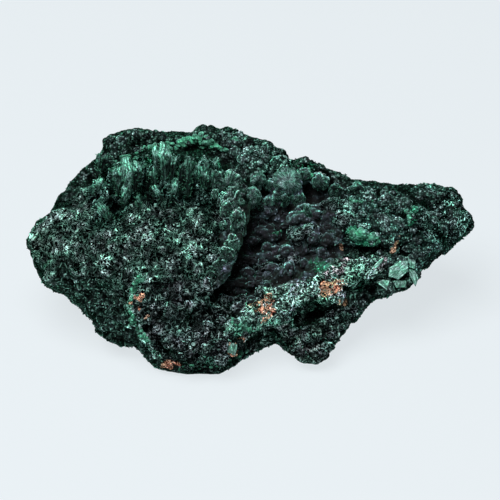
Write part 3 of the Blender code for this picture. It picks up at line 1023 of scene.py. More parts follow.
    def build(self) -> None:
        """Makes the skin's objects, in place of the solid: two for the face and one for the rear."""
        surface = self.face.surface
        left = surface.points[surface.faces].mean(axis=1)[:, 0] < self.sizes.split
        finishes = list(Rough)
        of_ground = np.array([finishes.index(ground.finish) for ground in GROUNDS])
        for name, side, keep in (
            ("face_left", self.face, left),
            ("face_right", self.face, ~left),
            ("rear", self.back, np.ones(len(self.back.surface.faces), dtype=bool)),
        ):
            part = side.surface.part(keep, (self.sizes.split, 0.0, self.sizes.inner_out))
            obj = part.mesh_object(name, [MATERIALS[finish] for finish in finishes], smooth=True)
            numbers = np.zeros(len(part.faces), dtype=np.int32)
            numbers[: keep.sum()] = of_ground[side.kinds[side.surface.faces[keep]].max(axis=1)]
            obj.data.polygons.foreach_set("material_index", numbers)
            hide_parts(NODE)

    def scatter(self, side: Side, density: Callable, rng: np.random.Generator) -> tuple:
        """Random places on one side of the skin.

        Args:
            side: which side.
            density: from triangle centres (n, 3) to places per square millimetre.
            rng: the source of chance.

        Returns:
            The places and their normals, each (n, 3), and the relief there: 1 on a lump's top, 0 in a crease.
        """
        skin = self.face if side is Side.FRONT else self.back
        corners, square = skin.surface.squares()
        area = np.linalg.norm(square, axis=1) / 2.0
        chosen, shares = sampled(area * density(corners.mean(axis=1)), rng)
        spots = skin.surface.faces[chosen]
        normals = skin.surface.normals()[spots]
        there = (skin.relief[spots] * shares[..., 0]).sum(axis=1)
        return (corners[chosen] * shares).sum(axis=1), unit((normals * shares).sum(axis=1)), there


class HeightField:
    """How far out the skin's front stands, looked up on a square grid."""

    # What a cell without any point says: far behind the specimen.
    NOWHERE = -30.0

    def __init__(self, points: np.ndarray, cell: float) -> None:
        """Keeps the outermost point of each cell."""
        self.cell = cell
        self.low = points[:, :2].min(axis=0)
        shape = np.ceil((points[:, :2].max(axis=0) - self.low) / cell).astype(int) + 1
        self.out = np.full(shape, self.NOWHERE)
        np.maximum.at(self.out, tuple(((points[:, :2] - self.low) / cell).astype(int).T), points[:, 2])

    def blurred(self, reach: float) -> "HeightField":
        """The same field averaged over a bell of that reach, in millimetres, wherever it has points."""
        known = self.out > self.NOWHERE + 1.0
        count = int(3.0 * reach / self.cell)
        steps = np.arange(-count, count + 1) * self.cell / reach
        bell = np.exp(-0.5 * steps**2)

        def spread(values: np.ndarray) -> np.ndarray:
            """The values, blurred by the bell along both sides of the grid."""
            rows = np.apply_along_axis(np.convolve, 0, np.pad(values, len(bell)), bell, "same")
            both = np.apply_along_axis(np.convolve, 1, rows, bell, "same")
            return both[len(bell) : -len(bell), len(bell) : -len(bell)]

        result = copy.copy(self)
        result.out = spread(np.where(known, self.out, 0.0)) / np.maximum(spread(known.astype(float)), 1e-6)
        return result

    def at(self, places: np.ndarray) -> np.ndarray:
        """Height at (along, up) places (..., 2)."""
        cells = np.clip(((places - self.low) / self.cell).astype(int), 0, np.array(self.out.shape) - 1)
        return self.out[cells[..., 0], cells[..., 1]]


# Fans, plates and lumps -------------------------------------------------------------------------


@dataclass(frozen=True)
class Fan:
    """Fibres grown side by side from a root into a thick fan with a torn edge.

    Attributes:
        along, up: the root.
        length: of the longest fibres.
        first, last: the outer fibres' directions, in degrees from "along".
        lift: how far its torn edge stands off the ground.
        depth: how thick it is there.
        light: how bright it is.
        steps: how unevenly its bundles end.
        even: 0 where bundles differ in light, 1 where all are alike.
        cap: the share of its length that is a granular, lighter cap.
        start: the share of its length at which it comes out of the ground.
    """

    along: float
    up: float
    length: float
    first: float
    last: float
    lift: float = 1.6
    depth: float = 2.6
    light: float = 0.5
    steps: float = 0.22
    even: float = 0.0
    cap: float = 0.32
    start: float = 0.1


def drape(
    along: float, top: float, width: float, height: float, lean: float, light: float, **more: float
) -> Fan:
    """A fan that looks like a fold of a curtain.

    Args:
        along: where the middle of its top is.
        top: how high that is.
        width: across its top.
        height: from its top to where it leaves the ground.
        lean: how far its top leans to the right, in degrees.
        light: how bright it is.
        more: other fields of the fan.

    Returns:
        The fan, whose root is as far below its foot as its foot is below its top.
    """
    length, way = 2.0 * height, math.radians(90.0 - lean)
    half = math.degrees(width / length) / 2.0
    root = (along - length * math.cos(way), top - length * math.sin(way))
    return Fan(*root, length, 90.0 - lean - half, 90.0 - lean + half, light=light, start=0.5, **more)


class Fans:
    """Fans of one finish, as one piece."""

    # Points lie so far apart across a fan; so many run up its front and round its edge.
    SPACING = 0.2
    FRONT_ROWS = 30
    END_ROWS = 9
    # The way back down inside, as shares of the way from root to tip, and how deep each lies.
    INSIDE = ((0.75, 1.1), (0.4, 1.2), (0.0, 1.2))
    # A fan's number times this keeps its chance apart from its neighbours'.
    APART = 31.7

    def __init__(
        self, name: str, fans: Sequence[Fan], finish: Rough, code: str, grooves: float, skin: Skin
    ) -> None:
        """Remembers the fans, their colour where brightest, how deep their grooves are, and the skin."""
        self.name = name
        self.fans = fans
        self.finish = finish
        self.code = code
        self.grooves = grooves
        self.skin = skin

    def _profile(self, fan: Fan) -> tuple[np.ndarray, np.ndarray, np.ndarray]:
        """One column of points from root to tip, over the edge and back down inside.

        Returns:
            At each point the share of the fan's length, how deep it lies below the front as a share
            of the thickness, and how far the edge bulges past the tip.
        """
        rolled = np.linspace(1.0 / self.END_ROWS, 1.0, self.END_ROWS)
        front, flat = np.linspace(fan.start, 1.0, self.FRONT_ROWS), np.zeros(self.FRONT_ROWS)
        inside, deep = np.array(self.INSIDE).T
        share = np.concatenate([front, np.full(self.END_ROWS, 1.0), fan.start + (1.0 - fan.start) * inside])
        drop = np.concatenate([flat, 1.0 - np.sqrt(1.0 - rolled**2), deep])
        bulge = np.concatenate([flat, np.sqrt(1.0 - (1.0 - rolled) ** 2), np.zeros(len(deep))])
        return share, drop, bulge

    def _ground(self, flat: np.ndarray, risen: np.ndarray, fall: float) -> np.ndarray:
        """The level that a fan stands on: from the ground at its root to the ground at its tips.

        Args:
            flat: its points on the face, in columns (columns, rows, 2).
            risen: how far from root to tip each point is, from 0 to 1.
            fall: how far the ground may fall away under its tips.
        """
        low = float(self.skin.smooth_field.at(flat[len(flat) // 2, 0]))
        high = np.maximum(self.skin.smooth_field.at(flat[:, self.FRONT_ROWS - 1]), low - fall)
        high = np.convolve(np.pad(high, 4, mode="edge"), np.ones(9) / 9.0, mode="valid")
        return low + (high - low)[:, None] * risen

    def _fan(self, fan: Fan, number: int) -> Surface:
        """One fan.

        Each column of points runs up the front from root to tip, rolls over the edge and goes back
        down inside. The fan is bowed: its sides lie lower and reach less far than its middle.
        Bundles of fibres end and stand out unevenly, and grooves run along them.
        """
        span = math.radians(fan.last - fan.first)
        turn = np.linspace(0.0, 1.0, max(12, int(fan.length * span / self.SPACING)))
        share, drop, bulge = self._profile(fan)
        arc, far = np.meshgrid(turn * span * fan.length, share * fan.length, indexing="ij")
        share, drop = np.broadcast_to(share, arc.shape), np.broadcast_to(drop, arc.shape)
        key = np.stack([arc, far * 0.12, np.full_like(arc, self.APART * number)], axis=-1).reshape(-1, 3)
        bundle = noise(key, 2.2, 2, 81).reshape(arc.shape)
        groove = 1.0 - np.abs(noise(key * (1.0, 1.8, 1.0), 0.85, 2, 82)).reshape(arc.shape) * 1.6
        spots = np.stack([arc, drop * fan.depth, far], axis=-1).reshape(-1, 3) + 9.0 * number
        torn = noise(spots, 0.8, 2, 83).reshape(arc.shape)
        at_end = np.clip((share - 0.8) / 0.2, 0.0, 1.0)
        seen = fan.length * (1.0 - fan.start)
        risen = (share - fan.start) / (1.0 - fan.start)
        bow = np.sqrt(np.clip(1.0 - np.abs(2.0 * turn - 1.0) ** 3, 0.0, 1.0))[:, None]
        reach = far - 0.3 * seen * risen * (1.0 - bow)
        reach = reach + seen * at_end * (fan.steps * (bundle - 0.3) + 0.03 * torn)
        reach = reach + 0.3 * fan.depth * bulge * bow
        angle = math.radians(fan.first) + span * turn[:, None] + 0.05 * bundle * share
        flat = np.stack([fan.along + reach * np.cos(angle), fan.up + reach * np.sin(angle)], axis=-1)
        rise = bow * (fan.lift * risen**1.2 + 2.0 * fan.steps * bundle * risen) + self.grooves * (groove - 0.7)
        out = self._ground(flat, risen, 0.25 * seen) + rise - drop * (fan.depth + rise * 0.3)
        out = out - 0.8 * (1.0 - bow) + 0.25 * torn * at_end - 0.4
        rings = FACE.leant_back(np.concatenate([flat, out[..., None]], axis=-1))
        # Painted shade: fibres are darker in the grooves, towards the root, on the inner side and on the
        # bowed-down sides; the lighter cap and the bundles vary at random.
        body = (0.55 + 0.7 * bundle) * (0.2 + 0.8 * np.clip(groove, 0.0, 1.0) ** 2)
        body = body * (0.12 + 0.88 * risen**1.5)
        top = fan.cap * (1.0 - fan.start)
        at_cap = np.clip((share - 1.0 + top) / (0.5 * top), 0.0, 1.0)
        cap = np.clip(0.75 + 0.5 * bundle + 0.7 * torn, 0.1, 1.5)
        bright = (body + (cap - body) * at_cap) * (1.0 - 0.5 * np.clip(drop, 0.0, 1.0))
        bright = bright * (0.45 + 0.55 * bow)
        bright = bright * (1.0 - fan.even) + fan.even * (0.8 + 0.3 * groove)
        tints = np.array(colour(self.code)[:3]) * (fan.light * np.clip(bright, 0.02, 1.6))[..., None]
        below = far + drop * fan.depth
        return hoops(rings, tints, np.stack([arc, np.full_like(arc, self.APART * number), below], axis=-1))

    def build(self) -> bpy.types.Object:
        """Makes the fans' object."""
        surface = joined([self._fan(fan, number) for number, fan in enumerate(self.fans)])
        return surface.mesh_object(self.name, [MATERIALS[self.finish]], smooth=True)


@dataclass(frozen=True)
class Lump:
    """A rounded lump on the ground.

    Attributes:
        along, up: its centre on the face.
        radius: its size.
        light: how bright it is.
        stretch: how much wider and taller it is.
        sink: how far its centre lies below the ground, as a share of its radius.
        pale: how much brighter its face is than its neighbours' faces.
    """

    along: float
    up: float
    radius: float
    light: float = 0.4
    stretch: tuple[float, float] = (1.0, 1.0)
    sink: float = 0.6
    pale: float = 1.0


def strung(
    line: Sequence[tuple[float, float]], count: int, radius: float, light: float, spread: float
) -> tuple[Lump, ...]:
    """Small lumps side by side along a broken line.

    Args:
        line: its corners on the face.
        count: how many lumps.
        radius: of the largest.
        light: of the brightest.
        spread: how far they lie beside the line.

    Returns:
        The lumps.
    """
    rng = np.random.default_rng(SEED + round(100.0 * line[0][0]) + 30000)
    corners = np.array(line)
    run = np.concatenate([[0.0], np.cumsum(np.linalg.norm(np.diff(corners, axis=0), axis=1))])
    places = np.sort(rng.uniform(0.0, run[-1], count))
    spots = np.stack([np.interp(places, run, corners[:, axis]) for axis in range(2)], axis=1)
    spots += spread * rng.normal(size=spots.shape)
    return _sized(spots, (0.45 * radius, radius), (0.5 * light, light), 0.25, rng)


def scattered(
    patch: Patch, count: int, radii: tuple[float, float], lights: tuple[float, float]
) -> tuple[Lump, ...]:
    """Lumps side by side over a patch, none closer to another than the smallest radius.

    Args:
        patch: where they are.
        count: how many places are tried.
        radii: the smallest and the largest.
        lights: of the darkest and of the brightest.

    Returns:
        The lumps.
    """
    rng = np.random.default_rng(SEED + round(100.0 * patch.along) + round(10.0 * patch.up) + 60000)
    reach, turn = np.sqrt(rng.random(count)), rng.uniform(0.0, 2.0 * math.pi, count)
    flat = np.stack([patch.reach_along * reach * np.cos(turn), patch.reach_up * reach * np.sin(turn)], axis=1)
    cos, sin = math.cos(math.radians(patch.turn)), math.sin(math.radians(patch.turn))
    spots = flat @ np.array([(cos, sin), (-sin, cos)]) + (patch.along, patch.up)
    apart = np.linalg.norm(spots[:, None] - spots[None], axis=2) + 99.0 * np.triu(np.ones((count, count)))
    free = (apart > 1.6 * radii[0]).all(axis=1)
    return _sized(spots[free], radii, lights, 0.55, rng)


def _sized(
    spots: np.ndarray, radii: tuple, lights: tuple, sink: float, rng: np.random.Generator
) -> tuple[Lump, ...]:
    """Lumps at the places (n, 2), each with its own radius, light and shape."""
    sizes = radii[0] + (radii[1] - radii[0]) * rng.random(len(spots)) ** 1.5
    bright = rng.uniform(*lights, len(spots))
    wide = rng.uniform(0.8, 1.35, len(spots))
    return tuple(
        Lump(*spot, size, light, (across, 1.0 / across), sink)
        for spot, size, light, across in zip(spots.tolist(), sizes.tolist(), bright.tolist(), wide.tolist())
    )


@dataclass(frozen=True)
class LumpLook:
    """How the lumps of a piece are coloured.

    Attributes:
        finish: their material.
        face: colour of their faces, as a hex code.
        rim: colour of the painted light on their upper rims.
        body: brightness of their faces.
        edge: brightness of that painted rim light.
        lobed: how deeply they are lobed.
    """

    finish: Rough
    face: str
    rim: str
    body: float
    edge: float
    lobed: float = 0.5


def _column(values: Sequence[float]) -> np.ndarray:
    """One value for each lump, as a column that spreads over its points."""
    return np.array(values)[:, None]


class Lumps:
    """Lobed lumps of one look, as one piece."""

    # Lumps with a greater radius are kept even where the ground falls away beside them.
    PLACED = 2.0
    # A sphere is split so often, for lumps whose first is larger than this radius and for others.
    FINE_FROM = 1.5
    SPLITS = (4, 3)
    # A lump's number times this keeps its chance, and its fibres, apart from its neighbours'.
    APART = 17.0
    GRAIN_APART = 31.7

    def __init__(self, name: str, members: Sequence[Lump], look: LumpLook, skin: Skin) -> None:
        """Remembers the lumps, without the small ones that would hang over the skin's edge."""
        self.name = name
        self.members = [lump for lump in members if lump.radius > self.PLACED or self._backed(lump, skin)]
        self.look = look
        self.skin = skin
        fine, coarse = self.SPLITS
        self.round, self.faces = self._sphere(fine if members[0].radius > self.FINE_FROM else coarse)

    def _backed(self, lump: Lump, skin: Skin) -> bool:
        """Whether the skin lies behind the lump, in its middle and all round."""
        turns = np.linspace(0.0, 2.0 * math.pi, 8, endpoint=False)
        ring = np.stack([np.cos(turns), np.sin(turns)], axis=1) * lump.radius + (lump.along, lump.up)
        middle = float(skin.height_field.at(np.array((lump.along, lump.up))))
        fall = middle - skin.height_field.at(ring)
        return bool((fall < 2.5 * lump.radius + 0.5).all()) and middle > FACE.rim(lump.up) - 1.0

    def _sphere(self, subdivisions: int) -> tuple[np.ndarray, np.ndarray]:
        """An even sphere's points and faces."""
        bm = bmesh.new()
        bmesh.ops.create_icosphere(bm, subdivisions=subdivisions, radius=1.0)
        points = np.array([vertex.co[:] for vertex in bm.verts])
        faces = np.array([[vertex.index for vertex in face.verts] for face in bm.faces])
        bm.free()
        return points, faces

    def _surface(self) -> Surface:
        """All the lumps: spheres swollen into lobes and knobs, with painted light on their upper rims and tops
        and painted shade between lobes and on their sides.
        """
        look, count, around = self.look, len(self.members), len(self.round)
        radius = _column([lump.radius for lump in self.members])
        ball = self.round * radius[..., None]
        spot = ball + self.APART * np.arange(count)[:, None, None]
        size = np.maximum(0.7 * radius, 0.8)[..., None]
        lobes = lumps((spot / size).reshape(-1, 3), 1.0, 91).reshape(count, around)
        knobs = lumps(spot.reshape(-1, 3), 0.9, 93).reshape(count, around)
        fine = noise(spot.reshape(-1, 3), 0.6, 2, 92).reshape(count, around)
        swell = 0.8 + look.lobed * (lobes - 0.5) + (0.25 * (knobs - 0.6) + 0.08 * fine) / radius
        stretch = np.array([(*lump.stretch, 1.0) for lump in self.members])[:, None]
        flat = np.array([(lump.along, lump.up) for lump in self.members])
        sink = np.array([lump.sink for lump in self.members]) * radius[:, 0]
        middle = np.column_stack([flat, self.skin.height_field.at(flat) - sink])[:, None]
        points = (ball * swell[..., None] * stretch + middle).reshape(-1, 3)
        faces = (self.faces + around * np.arange(count)[:, None, None]).reshape(-1, 3)
        normals = Surface(points, faces).normals().reshape(count, around, 3)
        # Painted light and shade: rims turned from the front and facing up get painted rim light; faces are
        # lighter on top and towards the front, and darker between lobes and knobs.
        upward, outward = normals[..., 1], normals[..., 2]
        rim = np.clip(1.25 - 1.6 * outward, 0.0, 1.0) ** 1.5 * np.clip(0.45 + 0.75 * upward, 0.0, 1.0)
        pale = _column([lump.pale for lump in self.members])
        body = pale * look.body * (0.35 + 0.65 * lobes**4) * (0.4 + 0.8 * knobs**2)
        body = body * (0.75 + 0.25 * upward) * (0.25 + 0.9 * np.clip(outward, 0.0, 1.0) ** 1.5)
        light = _column([lump.light for lump in self.members]) * (1.0 + 0.4 * fine)
        tints = np.array(colour(look.face)[:3]) * (light * body)[..., None]
        tints += np.array(colour(look.rim)[:3]) * (light * look.edge * rim / pale**2)[..., None]
        across = unit(self.round[:, :2]) * radius[..., None]
        along = radius * np.hypot(*self.round[:, :2].T) + self.GRAIN_APART * np.arange(count)[:, None]
        grain = np.concatenate([across, along[..., None]], axis=2)
        return Surface(points, faces, tints=tints.reshape(-1, 3), grain=grain.reshape(-1, 3))

    def build(self) -> bpy.types.Object:
        """Makes the lumps' object."""
        return self._surface().mesh_object(self.name, [MATERIALS[self.look.finish]], smooth=True)


@dataclass(frozen=True)
class Plate:
    """A flat chip of parallel fibres, set in the ground.

    Attributes:
        corners: its outline on the face, anticlockwise.
        grain: the fibres' direction, in degrees from "along".
        light: how bright it is.
        lift: how far it stands off the ground.
        tilt: how much higher its upper edge is than its lower one.
    """

    corners: tuple[tuple[float, float], ...]
    grain: float
    light: float
    lift: float = 0.4
    tilt: float = 0.0


class Plates:
    """Chips of one finish, as one piece."""

    AROUND = 96
    # Share of the way from the middle to the outline, and how far down each ring lies.
    RINGS = (
        (0.02, 0.0), (0.35, 0.0), (0.65, 0.02), (0.85, 0.06), (0.95, 0.15), (1.0, 0.4), (1.0, 1.2), (0.9, 2.2)
    )
    # A chip's number times these keeps its chance, and its fibres, apart from its neighbours'.
    APART = 7.0
    GRAIN_APART = 5.0

    def __init__(self, name: str, plates: Sequence[Plate], finish: Rough, code: str, skin: Skin) -> None:
        """Remembers the chips, their colour where brightest, and the skin."""
        self.name = name
        self.plates = plates
        self.finish = finish
        self.code = code
        self.skin = skin

    def _noise(self, flat: np.ndarray, number: int, size: float, channel: int) -> np.ndarray:
        """Noise of one size over places on a chip (..., 2), apart from that of other chips."""
        level = np.full((*flat.shape[:-1], 1), self.APART * number)
        spots = np.concatenate([flat, level], axis=-1)
        return noise(spots.reshape(-1, 3), size, 2, channel).reshape(flat.shape[:-1])

    def _outline(self, plate: Plate) -> np.ndarray:
        """Places (n, 2) evenly spaced along the chip's outline."""
        closed = np.array((*plate.corners, plate.corners[0]))
        run = np.concatenate([[0.0], np.cumsum(np.linalg.norm(np.diff(closed, axis=0), axis=1))])
        places = np.linspace(0.0, run[-1], self.AROUND, endpoint=False)
        return np.stack([np.interp(places, run, closed[:, axis]) for axis in range(2)], axis=1)

    def _plate(self, plate: Plate, number: int) -> Surface:
        """One chip: rings round its middle, the last of them below the ground."""
        middle = np.array(plate.corners).mean(axis=0)
        outline = self._outline(plate)
        shares, downs = np.array(self.RINGS).T
        ragged = 1.0 + 0.06 * self._noise(outline, number, 0.7, 95)
        flat = middle + (outline - middle) * (ragged[:, None] * shares[:, None, None])
        base = float(self.skin.smooth_field.at(middle)) + plate.lift
        out = base + plate.tilt * (flat[..., 1] - middle[1]) - downs[:, None]
        out = out + 0.15 * self._noise(flat, number, 1.2, 96)
        way = math.radians(plate.grain)
        axes = np.array([(-math.sin(way), math.cos(way)), (math.cos(way), math.sin(way))])
        lines = flat @ axes.T
        bands = self._noise(lines * (1.0, 0.15), number, 1.1, 97)
        # Painted shade down the chip's sides below its top; the bands follow its fibres, and a lighter ring
        # runs just inside its outline.
        bright = plate.light * np.clip(1.0 - 0.55 * downs[:, None], 0.1, 1.0) * (1.0 + 0.35 * bands)
        bright = bright + 0.2 * plate.light * ((shares > 0.8) & (shares < 1.0))[:, None]
        tints = np.array(colour(self.code)[:3]) * bright[..., None]
        grain = np.stack([lines[..., 0], out + self.GRAIN_APART * number, lines[..., 1]], axis=-1)
        surface = hoops(np.concatenate([flat, out[..., None]], axis=2), tints, grain)
        if surface.normals()[self.AROUND : 2 * self.AROUND, 2].mean() < 0.0:
            surface.faces = surface.faces[:, ::-1]
        return surface

    def build(self) -> bpy.types.Object:
        """Makes the chips' object."""
        surface = joined([self._plate(plate, number) for number, plate in enumerate(self.plates)])
        return surface.mesh_object(self.name, [MATERIALS[self.finish]], smooth=True)


# What grows on it -------------------------------------------------------------------------------


@dataclass(frozen=True)
class Habit:
    """How one kind of crystal grows over the skin.

    Attributes:
        name: the piece's name.
        finish: its material.
        patches: where it grows; with none, everywhere on its side.
        bare: where it doesn't.
        side: which side of the rim it grows on.
        per_mm2: crystals on each square millimetre.
        length: shortest and longest.
        width: thinnest and thickest.
        swell: the radius at each ring, root first, as a share of the greatest.
        sides: corners of a crystal's section.
        tuft: size of the tufts that it grows in.
        lean: how far a tuft's outer crystals lean away from its middle.
        lay: 0 where crystals stand up, 1 where they lie along the ground.
        tangle: how far each crystal leans at random.
        lit: share of the crystals that are bright.
        clump: 0 for an even cover, 1 for separate clumps.
    """

    name: str
    finish: Crystal
    patches: tuple[Patch, ...] = ()
    bare: tuple[Patch, ...] = ()
    side: Side = Side.FRONT
    per_mm2: float = 6.0
    length: tuple[float, float] = (0.8, 1.6)
    width: tuple[float, float] = (0.16, 0.3)
    swell: tuple[float, ...] = (1.0, 0.35)
    sides: int = 3
    tuft: float = 2.2
    lean: float = 0.6
    lay: float = 0.3
    tangle: float = 0.6
    lit: float = 0.4
    clump: float = 0.0


class Growth:
    """Crystals of one habit, scattered over the skin in tufts."""

    # How far a crystal's root is sunk into the ground.
    SUNK = 0.12
    # How high above the resting plane the cover is full, and what shadows take from it.
    FULL_FROM = 0.8
    SHADED = 0.9
    # Widths of the separate clumps, and of the patches with more and with fewer bright crystals.
    CLUMP_SIZE = 2.4
    PATCH_SIZE = 4.0
    # Tones of bright and of dark crystals.
    BRIGHT = (0.45, 1.0)
    DARK = (0.0, 0.25)

    def __init__(self, habit: Habit, skin: Skin, channel: int) -> None:
        """Remembers what grows on what; channel keeps its chance apart from other growths."""
        self.habit = habit
        self.skin = skin
        self.channel = channel

    def _density(self, places: np.ndarray) -> np.ndarray:
        """Crystals per square millimetre at each place."""
        habit = self.habit
        cover = covered(habit.patches, places) if habit.patches else np.ones(len(places))
        if habit.bare:
            cover = cover * (1.0 - covered(habit.bare, places))
        front = FACE.is_front(places)
        cover = cover * (front if habit.side is Side.FRONT else ~front)
        if habit.clump:
            clumped = np.clip(2.5 * noise(places, self.CLUMP_SIZE, 3, self.channel + 3) - 0.4, 0.0, 1.5)
            cover = cover * (1.0 - habit.clump + habit.clump * clumped)
        cover = cover * (1.0 - self.SHADED * covered(SHADOWS, places))
        above = np.clip(FACE.above(places) / self.FULL_FROM, 0.0, 1.0)
        return habit.per_mm2 * cover * above

    def _axes(self, roots: np.ndarray, normals: np.ndarray, rng: np.random.Generator) -> tuple:
        """The crystals' directions: away from each tuft's middle, and never into the ground.

        Returns:
            Directions (n, 3), and a number from 0 to 1 that each tuft has for itself (n,).
        """
        habit = self.habit
        offset, own = nearest_seed(roots, habit.tuft, self.channel)
        away = offset - normals * (offset * normals).sum(axis=1, keepdims=True)
        axes = normals * (1.0 - habit.lay) + habit.lean * away / habit.tuft * 1.6
        axes = unit(axes + habit.tangle * rng.normal(size=roots.shape))
        up = (axes * normals).sum(axis=1, keepdims=True)
        return unit(axes + normals * (np.clip(up, 0.15, 1.0 - 0.7 * habit.lay) - up)), own

    def build(self) -> bpy.types.Object:
        """Makes the crystals' object."""
        habit = self.habit
        rng = np.random.default_rng(SEED + self.channel)
        roots, normals, relief = self.skin.scatter(habit.side, self._density, rng)
        if habit.side is Side.FRONT:
            seen = normals[:, 2] > rng.uniform(0.6, 0.85, len(roots))
            roots, normals, relief = roots[seen], normals[seen], relief[seen]
        count = len(roots)
        axes, own = self._axes(roots, normals, rng)
        lengths = rng.uniform(*habit.length, count) * (0.75 + 0.5 * own)
        shares = np.linspace(0.0, 1.0, len(habit.swell))
        lines = roots[:, None] + axes[:, None] * (lengths[:, None] * shares - self.SUNK)[..., None]
        patchy = 0.75 * np.clip(noise(roots, self.PATCH_SIZE, 3, self.channel + 17), -1.0, 1.0)
        # Painted light and shade: more crystals are bright on lump tops and fewer in the creases; the patches
        # vary at random.
        lit = rng.random(count) < habit.lit * (0.4 + 1.1 * relief + patchy)
        tones = np.where(lit, rng.uniform(*self.BRIGHT, count), rng.uniform(*self.DARK, count))
        radii = rng.uniform(*habit.width, count) / 2.0
        surface = rods(lines, radii, habit.swell, habit.sides, tones)
        return surface.mesh_object(habit.name, [habit.finish.value.material()], smooth=False)


class Pile:
    """Short fibres that stand out of lumps and fans, to break up their outlines."""

    SUNK = 0.1
    TANGLE = 0.45
    # How far inside the rim fibres still grow, and how far a face may be turned away.
    PAST_RIM = 1.0
    TURNED = -0.2
    # Share of the fibres that are bright, and the tones of these and of the dark ones.
    LIT = 0.45
    BRIGHT = (0.4, 1.0)
    DARK = (0.0, 0.3)
    WIDTH = (0.12, 0.22)
    SWELL = (1.0, 0.4)
    SIDES = 3

    def __init__(
        self, name: str, piece: bpy.types.Object, finish: Crystal, per_mm2: float, length: tuple
    ) -> None:
        """Remembers the piece that the fibres grow on, and how."""
        self.name = name
        self.piece = piece
        self.finish = finish
        self.per_mm2 = per_mm2
        self.length = length

    def build(self, channel: int, along: float = 0.0) -> bpy.types.Object:
        """Makes the fibres' object.

        Args:
            channel: keeps its chance apart from other growths.
            along: how far the fibres lean up the face.
        """
        corners, square = read_surface(self.piece.data).squares()
        facing = unit(square)
        open_sky = (facing[:, 2] > self.TURNED) * (corners[:, 0, 2] > FACE.rim_out - self.PAST_RIM)
        rng = np.random.default_rng(SEED + channel)
        area = np.linalg.norm(square, axis=1) / 2.0
        chosen, shares = sampled(area * open_sky * self.per_mm2, rng)
        roots = (corners[chosen] * shares).sum(axis=1)
        count = len(roots)
        tangle = self.TANGLE * rng.normal(size=(count, 3))
        axes = unit(facing[chosen] + (0.0, along, 0.0) + tangle)
        ends = np.stack([np.full(count, -self.SUNK), rng.uniform(*self.length, count)], axis=1)
        lines = roots[:, None] + axes[:, None] * ends[..., None]
        lit = rng.random(count) < self.LIT
        tones = np.where(lit, rng.uniform(*self.BRIGHT, count), rng.uniform(*self.DARK, count))
        radii = rng.uniform(*self.WIDTH, count) / 2.0
        surface = rods(lines, radii, self.SWELL, self.SIDES, tones)
        return surface.mesh_object(self.name, [self.finish.value.material()], smooth=False)


# Where everything is ----------------------------------------------------------------------------

LOBE = (Patch(-13.5, -18.5, 14.5, 11.0, -12.0), Patch(-6.0, -24.0, 12.0, 6.0, 10.0))
FAN_BED = (
    Patch(-25.0, 17.5, 13.0, 6.0, 8.0),
    Patch(-13.0, 16.5, 8.0, 6.5),
    Patch(-35.5, 13.0, 5.0, 9.0, -15.0),
)
TOP_BAND = (Patch(-24.0, 27.8, 17.0, 5.0, 3.0), Patch(-6.5, 28.0, 10.0, 5.0, -6.0))
CAULIFLOWER = (Patch(2.5, 24.5, 10.5, 5.5, -22.0),)
HOLLOW = (Patch(8.0, 1.0, 15.0, 11.5), Patch(-1.5, -8.5, 8.0, 7.0, 45.0), Patch(12.0, 10.0, 10.0, 8.0))
ARM = (Patch(38.5, 6.0, 21.0, 12.0, -4.0),)
TIP = (Patch(50.0, 8.0, 8.0, 8.0, -10.0),)
FLANK = (Patch(-36.0, -17.5, 11.0, 6.0, -32.0), Patch(-44.0, -10.0, 7.0, 5.0, -30.0))
FOOT = (Patch(15.0, -23.5, 9.0, 5.5),)
LEFT = (
    Patch(-30.0, 0.0, 27.0, 18.0, 8.0),
    Patch(-16.0, 1.0, 14.0, 13.0),
    Patch(-47.0, 1.0, 10.0, 12.0),
    Patch(-33.0, -15.0, 13.0, 9.0, -30.0),
)
RIDGE = (Patch(8.0, -14.0, 15.0, 4.5, 22.0), Patch(24.5, -6.0, 11.0, 5.0, 32.0))
LEFT_SEAM = (
    Patch(-25.8, -7.5, 1.3, 2.6, -35.0),
    Patch(-29.5, -12.5, 1.3, 4.0, -20.0),
    Patch(-29.0, -17.5, 1.3, 4.0, 25.0),
    Patch(-24.5, -24.0, 1.4, 4.5, 38.0),
)

# Deep places that hardly any light reaches.
SHADOWS = (
    Patch(-1.3, 9.0, 1.7, 11.0, -8.0, 0.8),
    Patch(17.5, 10.5, 4.5, 2.5, 0.0, 0.8),
    Patch(18.5, 2.0, 2.2, 4.0, 10.0, 0.8),
    Patch(-24.8, 16.2, 1.2, 3.2, 0.0, 0.8),
    Patch(-16.8, 16.0, 1.0, 5.5, -6.0, 0.8),
    Patch(-34.0, 11.8, 1.2, 4.6, 15.0, 0.8),
    Patch(29.5, 0.3, 3.2, 1.3, -8.0, 0.8),
    Patch(15.4, -14.6, 3.2, 2.4, 0.0, 0.8),
    Patch(27.5, -8.5, 2.0, 2.2, 0.0, 0.8),
    Patch(-0.5, -9.0, 3.6, 4.2, 20.0, 1.0),
    Patch(-0.5, 21.5, 4.0, 1.3, -20.0, 0.8),
    Patch(43.2, 11.6, 0.9, 3.2, 20.0, 0.8),
    Patch(45.8, 5.4, 0.9, 4.0, 20.0, 0.8),
    Patch(39.4, 15.0, 2.4, 0.7, 0.0, 0.8),
    Patch(30.4, 14.6, 4.0, 0.7, -6.0, 0.8),
)

